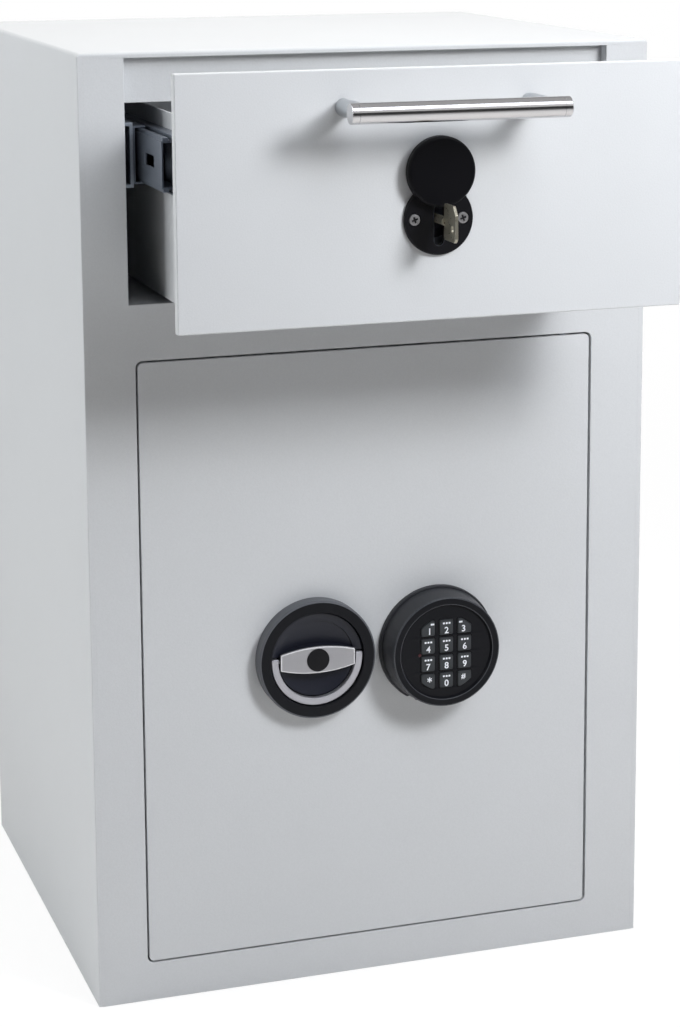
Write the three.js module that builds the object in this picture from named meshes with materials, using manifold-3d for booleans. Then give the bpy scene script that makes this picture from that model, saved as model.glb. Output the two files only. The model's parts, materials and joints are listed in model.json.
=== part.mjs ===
// Drop safe with a deposit drawer, as an assembly of separate pieces.
// Millimetres, +Z up. The origin is the centre of the cabinet's underside, the front faces -Y and +X is
// to the right as seen from the front. The drawer stands partly open, the door is shut and unlocked.
import * as THREE from 'three';
import { mergeVertices } from 'three/addons/utils/BufferGeometryUtils.js';
import Module from 'manifold-3d';

const wasm = await Module();
wasm.setup();

// Cabinet
const cabinetHeight = 700;
const cabinetWidth = 430;
const cabinetDepth = 390;
const wallThickness = 4;
const wallBendRadius = 3;
const backThickness = 4;
const baseThickness = 4;
const frameThickness = 10;
const drawerOpeningHeight = 173.5;
const drawerSideMargin = 33;
const middleRailHeight = 40.5;
const doorMarginLeft = 37;
const doorMarginRight = 42.5;
const doorMarginBottom = 29;
const openingCornerRadius = 5;
const headerHeight = 32;
const headerThickness = 3;
const dividerThickness = 4;
const anchorHoleRadius = 6;
const anchorInset = 75;

// Drop opening in the divider and the baffle under it
const dropOpeningWidth = 288;
const dropOpeningDepth = 108;
const dropRearMargin = 18;
const baffleSheet = 2.5;
const baffleFlange = 16;
const baffleRun = 46;
const baffleFall = 82;
const baffleTeeth = 9;
const baffleToothDepth = 12;

// Door
const doorThickness = 10;
const doorGap = 1.5;
const hingeGap = 2;
const hingeInset = 20;
const hingePinRadius = 3;
const hingePinDoorLength = 14;
const hingePinFrameLength = 9;
const coverSheet = 1.5;
const coverDepth = 32;
const coverMarginX = 7;
const coverMarginHinge = 36;
const coverMarginZ = 22;

// Boltwork
const boltRadius = 10;
const boltFrameGap = 4;
const boltThrow = 16;
const boltEndInset = 5;
const boltMarginZ = 85;
const guideThickness = 9;
const guideMargin = 4;
const carriageSheet = 4;
const carriageArmReach = 15;
const carriageGuideGap = 2;
const carriageMargin = 6;
const carriageStripWidth = 24;
const carriageArmHeight = 44;
const studRadius = 4;
const studProud = 2;

// Turning handle with its folding bail
const lockHeight = 223;
const dialGap = 5.9;
const ringRadius = 44.8;
const ringWidth = 9.1;
const ringHeight = 11.5;
const dishFloor = 2.8;
const dishMargin = 1;
const barBailGap = 1.1;
const barHeight = 20;
const barEndHeight = 12;
const barThickness = 2.5;
const capRadius = 8.6;
const capHeight = 0.6;
const bailRingGap = 0.7;
const bailWidth = 5.4;
const bailDepth = 5;
const bailPivotDepth = 7.2;
const bailPinRadius = 1.2;
const spindleRadius = 6;
const crankSheet = 5;
const crankWidth = 14;
const crankPinRadius = 3;
const crankSlotClearance = 0.7;

// Keypad and the lock behind it
const keypadBaseRadius = 45.3;
const keypadBaseHeight = 4;
const keypadFaceRadius = 41.8;
const keypadHeight = 25;
const keypadRimWidth = 5.2;
const keypadFaceDepth = 2.4;
const keypadWall = 2.5;
const keyPitchX = 14.4;
const keyPitchZ = 13.6;
const keyWidth = 10.6;
const keyHeight = 11.4;
const keyFieldRadius = 28.5;
const keyFieldDrop = 1.6;
const keyProud = 1.3;
const keyDepth = 6;
const cableRadius = 2.5;
const lockCaseWidth = 62;
const lockCaseHeight = 86;
const lockCaseDepth = 26;
const lockBoltHeight = 22;
const lockBoltThickness = 8;
const lockBoltReach = 30;
const lockBoltCover = 4;

// Drawer
const drawerOut = 135;
const drawerGap = 1.2;
const drawerFrontThickness = 8;
const drawerSheet = 1.5;
const drawerBoxBottomGap = 3.5;
const drawerBoxTopGap = 5;
const drawerRearGap = 22;
const drawerFlange = 16;
const trayRiserHeight = 58;
const trayLockGap = 4;
const trayFoot = 8;
const trayTopGap = 2;

// Telescopic runners
const runnerHeight = 41;
const runnerThickness = 19;
const runnerSheet = 1.5;
const runnerRearGap = 24;
const runnerSideGap = 8.5;
const runnerDrop = 32;
const runnerFlangeGap = 1;
const bearingHeight = 2.5;
const bearingInset = 0.7;
const bearingWebGap = 1;
const runnerFrontGap = 2;
const middleRailInset = 3.3;
const runnerSlotLength = 25;
const runnerSlotHeight = 8;
const runnerSlotSetback = 21;
const beamSheet = 2.5;
const beamHeight = 46;

// Drawer bar handle
const pullRadius = 7;
const pullLength = 153;
const pullSpacing = 132;
const pullStandoff = 45;
const pullPostRadius = 6;
const pullDrop = 25;

// Drawer lock
const drawerLockDrop = 71;
const rosetteRadius = 24.5;
const rosetteHeight = 3;
const keyholeBelow = 18;
const keyholeAbove = 12;
const keyholeGap = 0.5;
const rosetteScrewSpacing = 34.6;
const screwHeadRadius = 4;
const screwHeadHeight = 1.8;
const screwShankRadius = 1.9;
const screwLength = 9;
const swingCoverRadius = 24;
const swingCoverHeight = 7;
const swingCoverDistance = 32.5;
const swingPinRadius = 2.5;
const drawerLockWidth = 68;
const drawerLockHeight = 82;
const drawerLockDepth = 19;
const keyBarrelRadius = 14;
const lockBarWidth = 20;
const lockBarThickness = 6;
const lockBarSetback = 8;
const lockBarHeaderGap = 3;
const keyStemRadius = 3;
const keyBowStart = 15;
const keyBowLength = 22;
const keyBowHeight = 24.4;
const keyBowThickness = 2.2;
const keyBitGap = 2;
const keyBitLength = 9;
const keyBitThickness = 2.8;

// Fits
const fitGap = 0.3;

// Levels and places that follow from the sizes
const front = -cabinetDepth / 2;
const halfWidth = cabinetWidth / 2;
const innerHalf = halfWidth - wallThickness;
const rearInside = cabinetDepth - backThickness;
const openingTop = cabinetHeight - wallThickness;
const drawerFloor = openingTop - drawerOpeningHeight;
const headerBottom = openingTop - headerHeight;
const doorLeft = -halfWidth + doorMarginLeft + doorGap;
const doorRight = halfWidth - doorMarginRight - hingeGap;
const doorBottom = doorMarginBottom + doorGap;
const doorTop = drawerFloor - middleRailHeight - doorGap;
const hingeX = doorRight - hingeInset;
const hingeDepth = frameThickness / 2;
const lockZ = doorMarginBottom + lockHeight;
const dropRear = rearInside - dropRearMargin;
const dropFront = dropRear - dropOpeningDepth;
const handleOffset = (ringRadius + keypadBaseRadius + dialGap) / 2;
const bailOuterRadius = ringRadius - ringWidth - bailRingGap;
const bailInnerRadius = bailOuterRadius - bailWidth;
const barLength = 2 * (bailInnerRadius - barBailGap);
const boltHeights = [doorBottom + boltMarginZ, lockZ, doorTop - boltMarginZ];
const boltFront = frameThickness + boltFrameGap;
const boltDepth = boltFront + boltRadius;
const carriageBack = boltDepth + boltRadius;
const coverLeft = doorLeft + coverMarginX;
const guideX = coverLeft + coverSheet;
const carriageX = guideX + guideThickness + boltThrow + carriageGuideGap;
const crankRadius = boltThrow / Math.SQRT2;
const carriageArmEnd = crankRadius + carriageArmReach - handleOffset;
const bayHalf = halfWidth - drawerSideMargin;
const railX = -bayHalf + runnerSideGap;
const drawerBoxHalf = bayHalf - runnerSideGap - runnerThickness;
const drawerBoxBottom = drawerFloor + drawerBoxBottomGap;
const drawerBoxTop = headerBottom - drawerBoxTopGap;
const drawerBoxRear = rearInside - drawerRearGap;
const drawerLockZ = headerBottom - drawerLockDrop;
const runnerStart = frameThickness + runnerFrontGap;
const runnerEnd = rearInside - runnerRearGap;
const runnerZ = drawerBoxTop - runnerDrop;
const runnerFlange = (runnerThickness - runnerFlangeGap) / 2;

const finishes = {
  lightGrey: { color: 0xcdd1d3, roughness: 0.62, metalness: 0.0 },
  blackPlastic: { color: 0x1b1c1f, roughness: 0.5, metalness: 0.0 },
  keyRubber: { color: 0x26272c, roughness: 0.6, metalness: 0.0 },
  stainless: { color: 0xc4c6ca, roughness: 0.22, metalness: 1.0 },
  satinSilver: { color: 0xa9abb0, roughness: 0.35, metalness: 0.9 },
  zincSteel: { color: 0x9aa3ab, roughness: 0.4, metalness: 0.9 },
  nickel: { color: 0xb5ad98, roughness: 0.28, metalness: 1.0 },
};

// Turns a closed geometry into a solid, without its seams and the flat triangles at its poles.
function solidOf(geometry) {
  const bare = geometry.clone();
  bare.deleteAttribute('normal');
  bare.deleteAttribute('uv');
  const merged = mergeVertices(bare, 1e-4);
  const index = merged.index.array;
  const triangles = [];
  for (let i = 0; i < index.length; i += 3) {
    const [a, b, c] = [index[i], index[i + 1], index[i + 2]];
    if (a !== b && b !== c && c !== a) {
      triangles.push(a, b, c);
    }
  }
  const mesh = new wasm.Mesh({
    numProp: 3,
    vertProperties: new Float32Array(merged.attributes.position.array),
    triVerts: new Uint32Array(triangles),
  });
  return new wasm.Manifold(mesh);
}

function geometryOf(solid) {
  const mesh = solid.getMesh();
  const geometry = new THREE.BufferGeometry();
  geometry.setAttribute('position', new THREE.BufferAttribute(new Float32Array(mesh.vertProperties), 3));
  geometry.setIndex(new THREE.BufferAttribute(new Uint32Array(mesh.triVerts), 1));
  const flat = geometry.toNonIndexed();
  flat.computeVertexNormals();
  return flat;
}

function unite(...geometries) {
  return geometryOf(geometries.map(solidOf).reduce((whole, next) => whole.add(next)));
}

function cut(geometry, ...tools) {
  return geometryOf(tools.map(solidOf).reduce((whole, tool) => whole.subtract(tool), solidOf(geometry)));
}

function common(geometry, tool) {
  return geometryOf(solidOf(geometry).intersect(solidOf(tool)));
}

// A box from its limits. The second pair is a depth behind the cabinet's front face.
function block([x0, x1], [d0, d1], [z0, z1]) {
  const geometry = new THREE.BoxGeometry(x1 - x0, d1 - d0, z1 - z0);
  geometry.translate((x0 + x1) / 2, front + (d0 + d1) / 2, (z0 + z1) / 2);
  return geometry;
}

// A plate parallel to the front, from an outline in x and z, between two depths.
function plate(shape, d0, d1, curveSegments = 6) {
  const geometry = new THREE.ExtrudeGeometry(shape, { depth: d1 - d0, bevelEnabled: false, curveSegments });
  geometry.rotateX(Math.PI / 2);
  geometry.translate(0, front + d1, 0);
  return geometry;
}

// A profile drawn in depth and height, carried along X between two places.
function profileAlongX(points, x0, x1) {
  const shape = new THREE.Shape(points.map(([depth, z]) => new THREE.Vector2(front + depth, z)));
  const geometry = new THREE.ExtrudeGeometry(shape, { depth: x1 - x0, bevelEnabled: false });
  return geometry.applyMatrix4(new THREE.Matrix4().set(0, 0, 1, x0, 1, 0, 0, 0, 0, 1, 0, 0, 0, 0, 0, 1));
}

// The same geometry with its faces turned over, after a mirroring.
function flipped(geometry) {
  const whole = geometry.index ? geometry.toNonIndexed() : geometry;
  const position = whole.attributes.position;
  for (let i = 0; i < position.count; i += 3) {
    const second = new THREE.Vector3().fromBufferAttribute(position, i + 1);
    const third = new THREE.Vector3().fromBufferAttribute(position, i + 2);
    position.setXYZ(i + 1, third.x, third.y, third.z);
    position.setXYZ(i + 2, second.x, second.y, second.z);
  }
  whole.computeVertexNormals();
  return whole;
}

function mirroredX(geometry) {
  const copy = geometry.clone();
  copy.scale(-1, 1, 1);
  return flipped(copy);
}

// A round bar along Y between two depths.
function barY(radius, d0, d1, x, z, segments = 24) {
  const geometry = new THREE.CylinderGeometry(radius, radius, d1 - d0, segments);
  geometry.translate(x, front + (d0 + d1) / 2, z);
  return geometry;
}

function barX(radius, x0, x1, depth, z, segments = 24) {
  const geometry = new THREE.CylinderGeometry(radius, radius, x1 - x0, segments);
  geometry.rotateZ(Math.PI / 2);
  geometry.translate((x0 + x1) / 2, front + depth, z);
  return geometry;
}

function barZ(radius, z0, z1, x, depth, segments = 20) {
  const geometry = new THREE.CylinderGeometry(radius, radius, z1 - z0, segments);
  geometry.rotateX(Math.PI / 2);
  geometry.translate(x, front + depth, (z0 + z1) / 2);
  return geometry;
}

// A turned piece about a line along Y. The profile holds radius and height above the face it stands on.
function turned(profile, faceDepth, x, z, segments = 48) {
  const points = profile.map(([radius, height]) => new THREE.Vector2(radius, height));
  const geometry = new THREE.LatheGeometry(points, segments);
  geometry.rotateX(Math.PI);
  geometry.translate(x, front + faceDepth, z);
  return geometryOf(solidOf(geometry));
}

function rectangle(x0, x1, z0, z1, radius = 0, kind = THREE.Shape) {
  const shape = new kind();
  if (radius === 0) {
    shape.moveTo(x0, z0).lineTo(x1, z0).lineTo(x1, z1).lineTo(x0, z1).closePath();
    return shape;
  }
  shape.moveTo(x0 + radius, z0);
  shape.lineTo(x1 - radius, z0);
  shape.absarc(x1 - radius, z0 + radius, radius, -Math.PI / 2, 0, false);
  shape.lineTo(x1, z1 - radius);
  shape.absarc(x1 - radius, z1 - radius, radius, 0, Math.PI / 2, false);
  shape.lineTo(x0 + radius, z1);
  shape.absarc(x0 + radius, z1 - radius, radius, Math.PI / 2, Math.PI, false);
  shape.lineTo(x0, z0 + radius);
  shape.absarc(x0 + radius, z0 + radius, radius, Math.PI, Math.PI * 1.5, false);
  return shape;
}

function piece(parent, name, geometry, finish) {
  const mesh = new THREE.Mesh(geometry, new THREE.MeshStandardMaterial(finishes[finish]));
  mesh.name = name;
  parent.add(mesh);
  return mesh;
}

// Cabinet: a folded sheet for sides and top, a back, a base, a front frame and the drawer bay's plates.
function makeCabinet() {
  const cabinet = new THREE.Group();
  const inner = openingTop;
  const [bendX, bendZ] = [halfWidth - wallBendRadius, cabinetHeight - wallBendRadius];
  const wrap = new THREE.Shape();
  wrap.moveTo(-halfWidth, 0);
  wrap.lineTo(-innerHalf, 0);
  wrap.lineTo(-innerHalf, inner);
  wrap.lineTo(innerHalf, inner);
  wrap.lineTo(innerHalf, 0);
  wrap.lineTo(halfWidth, 0);
  wrap.lineTo(halfWidth, bendZ);
  wrap.absarc(bendX, bendZ, wallBendRadius, 0, Math.PI / 2, false);
  wrap.lineTo(-bendX, cabinetHeight);
  wrap.absarc(-bendX, bendZ, wallBendRadius, Math.PI / 2, Math.PI, false);
  piece(cabinet, 'body_wrap', plate(wrap, 0, cabinetDepth), 'lightGrey');

  const anchorX = innerHalf - anchorInset;
  const backHoles = [-anchorX, anchorX].map((x) =>
    barY(anchorHoleRadius, rearInside - 1, cabinetDepth + 1, x, drawerFloor - anchorInset));
  const back = block([-innerHalf, innerHalf], [rearInside, cabinetDepth], [0, inner]);
  piece(cabinet, 'back_panel', cut(back, ...backHoles), 'lightGrey');

  const base = block([-innerHalf, innerHalf], [frameThickness, rearInside], [0, baseThickness]);
  const anchorDepths = [frameThickness + anchorInset, rearInside - anchorInset];
  const baseHoles = [-anchorX, anchorX].flatMap((x) =>
    anchorDepths.map((depth) => barZ(anchorHoleRadius, -1, baseThickness + 1, x, depth)));
  piece(cabinet, 'base_plate', cut(base, ...baseHoles), 'lightGrey');

  piece(cabinet, 'front_frame', frameGeometry(), 'lightGrey');

  const header = block([-innerHalf, innerHalf], [frameThickness, frameThickness + headerThickness],
    [headerBottom, inner]);
  piece(cabinet, 'header_plate', header, 'lightGrey');

  const divider = block([-innerHalf, innerHalf], [frameThickness, rearInside],
    [drawerFloor - dividerThickness, drawerFloor]);
  const dropOpening = block([-dropOpeningWidth / 2, dropOpeningWidth / 2], [dropFront, dropRear],
    [drawerFloor - dividerThickness - 1, drawerFloor + 1]);
  piece(cabinet, 'divider_shelf', cut(divider, dropOpening), 'lightGrey');
  piece(cabinet, 'drop_baffle', baffleGeometry(), 'zincSteel');
  return cabinet;
}

function frameGeometry() {
  const half = innerHalf;
  const bay = bayHalf;
  const shape = new THREE.Shape();
  shape.moveTo(-half, 0).lineTo(half, 0).lineTo(half, openingTop).lineTo(bay, openingTop);
  shape.lineTo(bay, drawerFloor).lineTo(-bay, drawerFloor).lineTo(-bay, openingTop).lineTo(-half, openingTop);
  shape.closePath();
  const opening = rectangle(doorLeft - doorGap, doorRight + hingeGap, doorBottom - doorGap, doorTop + doorGap,
    openingCornerRadius, THREE.Path);
  shape.holes.push(opening);
  const radius = hingePinRadius + fitGap;
  const reach = hingePinFrameLength + 2 * fitGap;
  const lower = barZ(radius, doorBottom - doorGap - reach, doorBottom, hingeX, hingeDepth);
  const upper = barZ(radius, doorTop, doorTop + doorGap + reach, hingeX, hingeDepth);
  return cut(plate(shape, 0, frameThickness), lower, upper);
}

// A bent sheet under the drop opening: a flange against the divider, then a slope whose lower edge is
// toothed, so that nothing can be drawn back up past it.
function baffleGeometry() {
  const half = dropOpeningWidth / 2 + 8;
  const top = drawerFloor - dividerThickness;
  const start = dropFront - baffleFlange;
  const slope = Math.hypot(baffleRun, baffleFall);
  const [acrossD, acrossZ] = [baffleSheet * baffleFall / slope, baffleSheet * baffleRun / slope];
  const points = [
    [start, top],
    [start, top - baffleSheet],
    [dropFront - acrossD, top - baffleSheet],
    [dropFront + baffleRun - acrossD, top - baffleFall - acrossZ],
    [dropFront + baffleRun, top - baffleFall],
    [dropFront, top],
  ];
  const sheet = profileAlongX(points, -half, half);
  const pitch = 2 * half / baffleTeeth;
  const teeth = [];
  for (let i = 0; i < baffleTeeth; i += 1) {
    const x = -half + (i + 0.5) * pitch;
    const tooth = new THREE.Shape();
    const bottom = top - baffleFall - acrossZ - 1;
    tooth.moveTo(x - pitch * 0.4, bottom).lineTo(x + pitch * 0.4, bottom);
    tooth.lineTo(x, bottom + baffleToothDepth).closePath();
    teeth.push(plate(tooth, dropFront, dropFront + baffleRun + 20));
  }
  return cut(sheet, ...teeth);
}

// Door: the plate with its pins, the cover over the boltwork, the bolt guide and the lock.
function makeDoor() {
  const door = new THREE.Group();
  const shape = rectangle(doorLeft, doorRight, doorBottom, doorTop, openingCornerRadius - doorGap);
  const pinHole = hingePinRadius + fitGap;
  const studs = studHeights().map((z) =>
    barY(studRadius, doorThickness - 1, carriageBack + studProud, studX(), z, 16));
  const plain = unite(plate(shape, 0, doorThickness), ...studs);
  const slab = cut(plain,
    barY(spindleRadius + fitGap, -1, doorThickness + 1, -handleOffset, lockZ),
    barY(cableRadius + fitGap, -1, doorThickness + 1, handleOffset, lockZ, 16),
    barZ(pinHole, doorBottom - 1, doorBottom + hingePinDoorLength + fitGap, hingeX, hingeDepth),
    barZ(pinHole, doorTop - hingePinDoorLength - fitGap, doorTop + 1, hingeX, hingeDepth));
  piece(door, 'door_plate', slab, 'lightGrey');

  const lowerPin = barZ(hingePinRadius, doorBottom - doorGap - hingePinFrameLength,
    doorBottom + hingePinDoorLength, hingeX, hingeDepth);
  const upperPin = barZ(hingePinRadius, doorTop - hingePinDoorLength,
    doorTop + doorGap + hingePinFrameLength, hingeX, hingeDepth);
  piece(door, 'hinge_pin_bottom', lowerPin, 'zincSteel');
  piece(door, 'hinge_pin_top', upperPin, 'zincSteel');
  piece(door, 'boltwork_cover', coverGeometry(), 'lightGrey');

  const guide = block([guideX, guideX + guideThickness], [doorThickness, carriageBack + guideMargin],
    [boltHeights[0] - boltRadius - guideMargin, boltHeights[2] + boltRadius + guideMargin]);
  const holes = boltHeights.map((z) =>
    barX(boltRadius + fitGap, guideX - 1, guideX + guideThickness + 1, boltDepth, z));
  piece(door, 'bolt_guide', cut(guide, ...holes), 'zincSteel');
  return door;
}

// Two studs on the door plate carry the carriage, halfway between the bolts.
function studHeights() {
  return [0, 1].map((i) => (boltHeights[i] + boltHeights[i + 1]) / 2);
}

function studX() {
  return carriageX + carriageSheet + carriageStripWidth / 2;
}

// A shallow sheet box over the boltwork, open towards the door plate, with a hole for each bolt.
function coverGeometry() {
  const x = [coverLeft, doorRight - coverMarginHinge];
  const z = [doorBottom + coverMarginZ, doorTop - coverMarginZ];
  const outer = block(x, [doorThickness, doorThickness + coverDepth], z);
  const hollow = block([x[0] + coverSheet, x[1] - coverSheet],
    [doorThickness - 1, doorThickness + coverDepth - coverSheet],
    [z[0] + coverSheet, z[1] - coverSheet]);
  const holes = boltHeights.map((height) =>
    barX(boltRadius + fitGap, x[0] - 1, x[0] + coverSheet + 1, boltDepth, height));
  return cut(outer, hollow, ...holes);
}

// Boltwork: three round bolts carried by one sliding angle, moved by the crank on the spindle.
function makeBoltwork() {
  const boltwork = new THREE.Group();
  const x = carriageX;
  const z = [boltHeights[0] - boltRadius - carriageMargin, boltHeights[2] + boltRadius + carriageMargin];
  const back = carriageBack;
  const flange = block([x, x + carriageSheet], [boltFront, back], z);
  const strip = block([x, x + carriageSheet + carriageStripWidth], [back - carriageSheet, back], z);
  const armZ = lockZ - crankRadius / 2;
  const arm = block([x, carriageArmEnd], [back - carriageSheet, back],
    [armZ - carriageArmHeight / 2, armZ + carriageArmHeight / 2]);
  const slotHalf = crankPinRadius + crankSlotClearance;
  const pinX = -handleOffset + boltThrow / 2;
  const slot = rectangle(pinX - slotHalf, pinX + slotHalf, lockZ - crankRadius - slotHalf,
    lockZ - boltThrow / 2 + slotHalf, slotHalf - 0.01);
  const studHalf = studRadius + fitGap;
  const studSlots = studHeights().map((height) => {
    const outline = rectangle(studX() - studHalf, studX() + studHalf + boltThrow, height - studHalf,
      height + studHalf, studHalf - 0.01);
    return plate(outline, back - carriageSheet - 1, back + 1);
  });
  const whole = unite(flange, strip, arm);
  piece(boltwork, 'bolt_carriage', cut(whole, plate(slot, back - carriageSheet - 1, back + 1), ...studSlots),
    'zincSteel');
  const names = ['bolt_bottom', 'bolt_middle', 'bolt_top'];
  boltHeights.forEach((height, i) => {
    piece(boltwork, names[i], barX(boltRadius, doorLeft + boltEndInset, x, boltDepth, height), 'stainless');
  });
  return boltwork;
}

// The lens-shaped outline of the bar across the handle, from two arcs and two short ends.
function lensOutline(length, height, endHeight, x, z) {
  const shape = new THREE.Shape();
  const rise = (height - endHeight) / 2;
  const radius = (length * length / 4 + rise * rise) / (2 * rise);
  const half = Math.asin(length / 2 / radius);
  const drop = radius - height / 2;
  shape.moveTo(x + length / 2, z - endHeight / 2);
  shape.lineTo(x + length / 2, z + endHeight / 2);
  shape.absarc(x, z - drop, radius, Math.PI / 2 - half, Math.PI / 2 + half, false);
  shape.lineTo(x - length / 2, z - endHeight / 2);
  shape.absarc(x, z + drop, radius, Math.PI * 1.5 - half, Math.PI * 1.5 + half, false);
  return shape;
}

// Handle: a fixed ring, and in it a dished rotor with the bar, its cap, the folding bail and the spindle.
function makeHandle() {
  const handle = new THREE.Group();
  const [x, z] = [-handleOffset, lockZ];
  const inner = ringRadius - ringWidth;
  const ring = turned([[inner, 0], [ringRadius, 0], [ringRadius, ringHeight - 3],
    [ringRadius - 1, ringHeight - 0.9], [ringRadius - 3, ringHeight], [inner + 1, ringHeight],
    [inner, ringHeight - 1], [inner, 0]], 0, x, z);
  piece(handle, 'handle_ring', ring, 'blackPlastic');

  const rotorRadius = inner - fitGap;
  const bossTop = ringHeight - barThickness;
  const dishRadius = bailInnerRadius - dishMargin;
  const dish = turned([[0, fitGap], [rotorRadius, fitGap], [rotorRadius, dishFloor], [dishRadius, dishFloor],
    [dishRadius - 6, dishFloor - 0.8], [0, dishFloor - 1.3]], 0, x, z);
  const boss = plate(lensOutline(barLength, barHeight, barEndHeight, x, z), -bossTop, -fitGap, 10);
  const pivot = -bailPivotDepth;
  const pinHoles = [-1, 1].map((side) => {
    const ends = [side * (barLength / 2 + 1), side * (barLength / 2 - 5)].sort((a, b) => a - b);
    return barX(bailPinRadius + fitGap, x + ends[0], x + ends[1], pivot, z, 12);
  });
  piece(handle, 'handle_rotor', cut(unite(dish, boss), ...pinHoles), 'blackPlastic');

  const bar = plate(lensOutline(barLength, barHeight, barEndHeight, x, z), -ringHeight, -bossTop, 10);
  piece(handle, 'handle_bar', bar, 'satinSilver');
  const cap = barY(capRadius, -ringHeight - capHeight, -ringHeight, x, z, 32);
  piece(handle, 'handle_cap', cap, 'blackPlastic');

  const bail = new THREE.Shape();
  const bailInner = bailInnerRadius;
  const tip = bailWidth / 2;
  bail.moveTo(x + bailOuterRadius, z);
  bail.lineTo(x + bailOuterRadius, z + tip);
  bail.lineTo(x + bailInner, z + tip);
  bail.lineTo(x + bailInner, z);
  bail.absarc(x, z, bailInner, 0, -Math.PI, true);
  bail.lineTo(x - bailInner, z + tip);
  bail.lineTo(x - bailOuterRadius, z + tip);
  bail.lineTo(x - bailOuterRadius, z);
  bail.absarc(x, z, bailOuterRadius, Math.PI, Math.PI * 2, false);
  const hoop = plate(bail, pivot - bailDepth / 2, pivot + bailDepth / 2, 20);
  const pinReach = barLength / 2 - 4;
  const pins = [-1, 1].map((side) => {
    const ends = [side * pinReach, side * (bailInner + 1)].sort((a, b) => a - b);
    return barX(bailPinRadius, x + ends[0], x + ends[1], pivot, z, 12);
  });
  piece(handle, 'handle_bail', unite(hoop, ...pins), 'satinSilver');

  const shaftEnd = carriageBack - carriageSheet - fitGap;
  const shaft = barY(spindleRadius, -fitGap, shaftEnd, x, z);
  const radius = crankRadius;
  const reach = boltThrow / 2;
  const arm = new THREE.BoxGeometry(crankWidth, crankSheet, radius + 4);
  arm.translate(0, 0, -(radius + 4) / 2);
  arm.rotateY(-Math.PI / 4);
  arm.translate(x, front + shaftEnd - crankSheet / 2, z);
  const pin = barY(crankPinRadius, shaftEnd - 1, carriageBack + 1, x + reach, z - reach, 16);
  piece(handle, 'handle_spindle', unite(shaft, arm, pin), 'zincSteel');
  return handle;
}

function keyOutline(column, row, gap = 0) {
  const x = handleOffset + (column - 1) * keyPitchX;
  const z = lockZ - keyFieldDrop + (1.5 - row) * keyPitchZ;
  const halfX = keyWidth / 2 + gap;
  const halfZ = keyHeight / 2 + gap;
  return rectangle(x - halfX, x + halfX, z - halfZ, z + halfZ, 1.2 + gap);
}

// A key or its pocket. The keys at the field's corners are cut by the field's circle.
function keySolid(column, row, low, high, gap = 0) {
  const solid = plate(keyOutline(column, row, gap), -high, -low, 2);
  if (column === 1 || row === 1 || row === 2) {
    return solid;
  }
  const field = barY(keyFieldRadius + gap, -high - 1, -low + 1, handleOffset, lockZ - keyFieldDrop, 64);
  return common(solid, field);
}

// Keypad: a base on the door, the housing with its twelve keys, a lead through the door, and the lock.
function makeKeypad() {
  const keypad = new THREE.Group();
  const [x, z] = [handleOffset, lockZ];
  const bore = cableRadius + fitGap;
  const top = keypadBaseHeight;
  const base = turned([[bore, 0], [keypadBaseRadius, 0], [keypadBaseRadius, top - 1],
    [keypadBaseRadius - 1, top], [bore, top], [bore, 0]], 0, x, z);
  piece(keypad, 'keypad_base', base, 'blackPlastic');

  const low = keypadBaseHeight;
  const face = keypadHeight - keypadFaceDepth;
  const lowRadius = keypadBaseRadius - 1.6;
  const inner = lowRadius - keypadWall;
  const rimInner = keypadFaceRadius - keypadRimWidth;
  const shell = turned([[inner, low], [lowRadius, low], [keypadFaceRadius, keypadHeight - 1.2],
    [keypadFaceRadius - 1.2, keypadHeight], [rimInner, keypadHeight], [rimInner - 1.6, face], [0, face],
    [0, face - keypadWall], [keypadFaceRadius - keypadWall, face - keypadWall], [inner, low]], 0, x, z);
  const keys = [];
  for (let row = 0; row < 4; row += 1) {
    for (let column = 0; column < 3; column += 1) {
      keys.push([column, row]);
    }
  }
  const pockets = keys.map(([column, row]) => keySolid(column, row, face - keypadWall - 1, face + 1, fitGap));
  piece(keypad, 'keypad_housing', cut(shell, ...pockets), 'blackPlastic');

  const names = ['1', '2', '3', '4', '5', '6', '7', '8', '9', 'star', '0', 'hash'];
  keys.forEach(([column, row], i) => {
    const key = keySolid(column, row, face + keyProud - keyDepth, face + keyProud);
    piece(keypad, `key_${names[i]}`, key, 'keyRubber');
  });

  const lead = barY(cableRadius, -keypadBaseHeight, doorThickness, x, z, 12);
  piece(keypad, 'keypad_lead', lead, 'blackPlastic');

  const half = lockCaseWidth / 2;
  const lockCase = block([x - half, x + half], [doorThickness, doorThickness + lockCaseDepth],
    [z - lockCaseHeight / 2, z + lockCaseHeight / 2]);
  const boltBack = doorThickness + lockCaseDepth - lockBoltCover;
  const boltDepths = [boltBack - lockBoltThickness, boltBack];
  const channel = block([x - half - 1, x - half + lockBoltReach + fitGap],
    [boltDepths[0] - fitGap, boltDepths[1] + fitGap],
    [z - lockBoltHeight / 2 - fitGap, z + lockBoltHeight / 2 + fitGap]);
  piece(keypad, 'lock_case', cut(lockCase, channel), 'satinSilver');
  const boltLeft = carriageArmEnd + fitGap;
  const lockBolt = block([boltLeft, x - half + lockBoltReach], boltDepths,
    [z - lockBoltHeight / 2, z + lockBoltHeight / 2]);
  piece(keypad, 'lock_bolt', lockBolt, 'nickel');
  return keypad;
}

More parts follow.
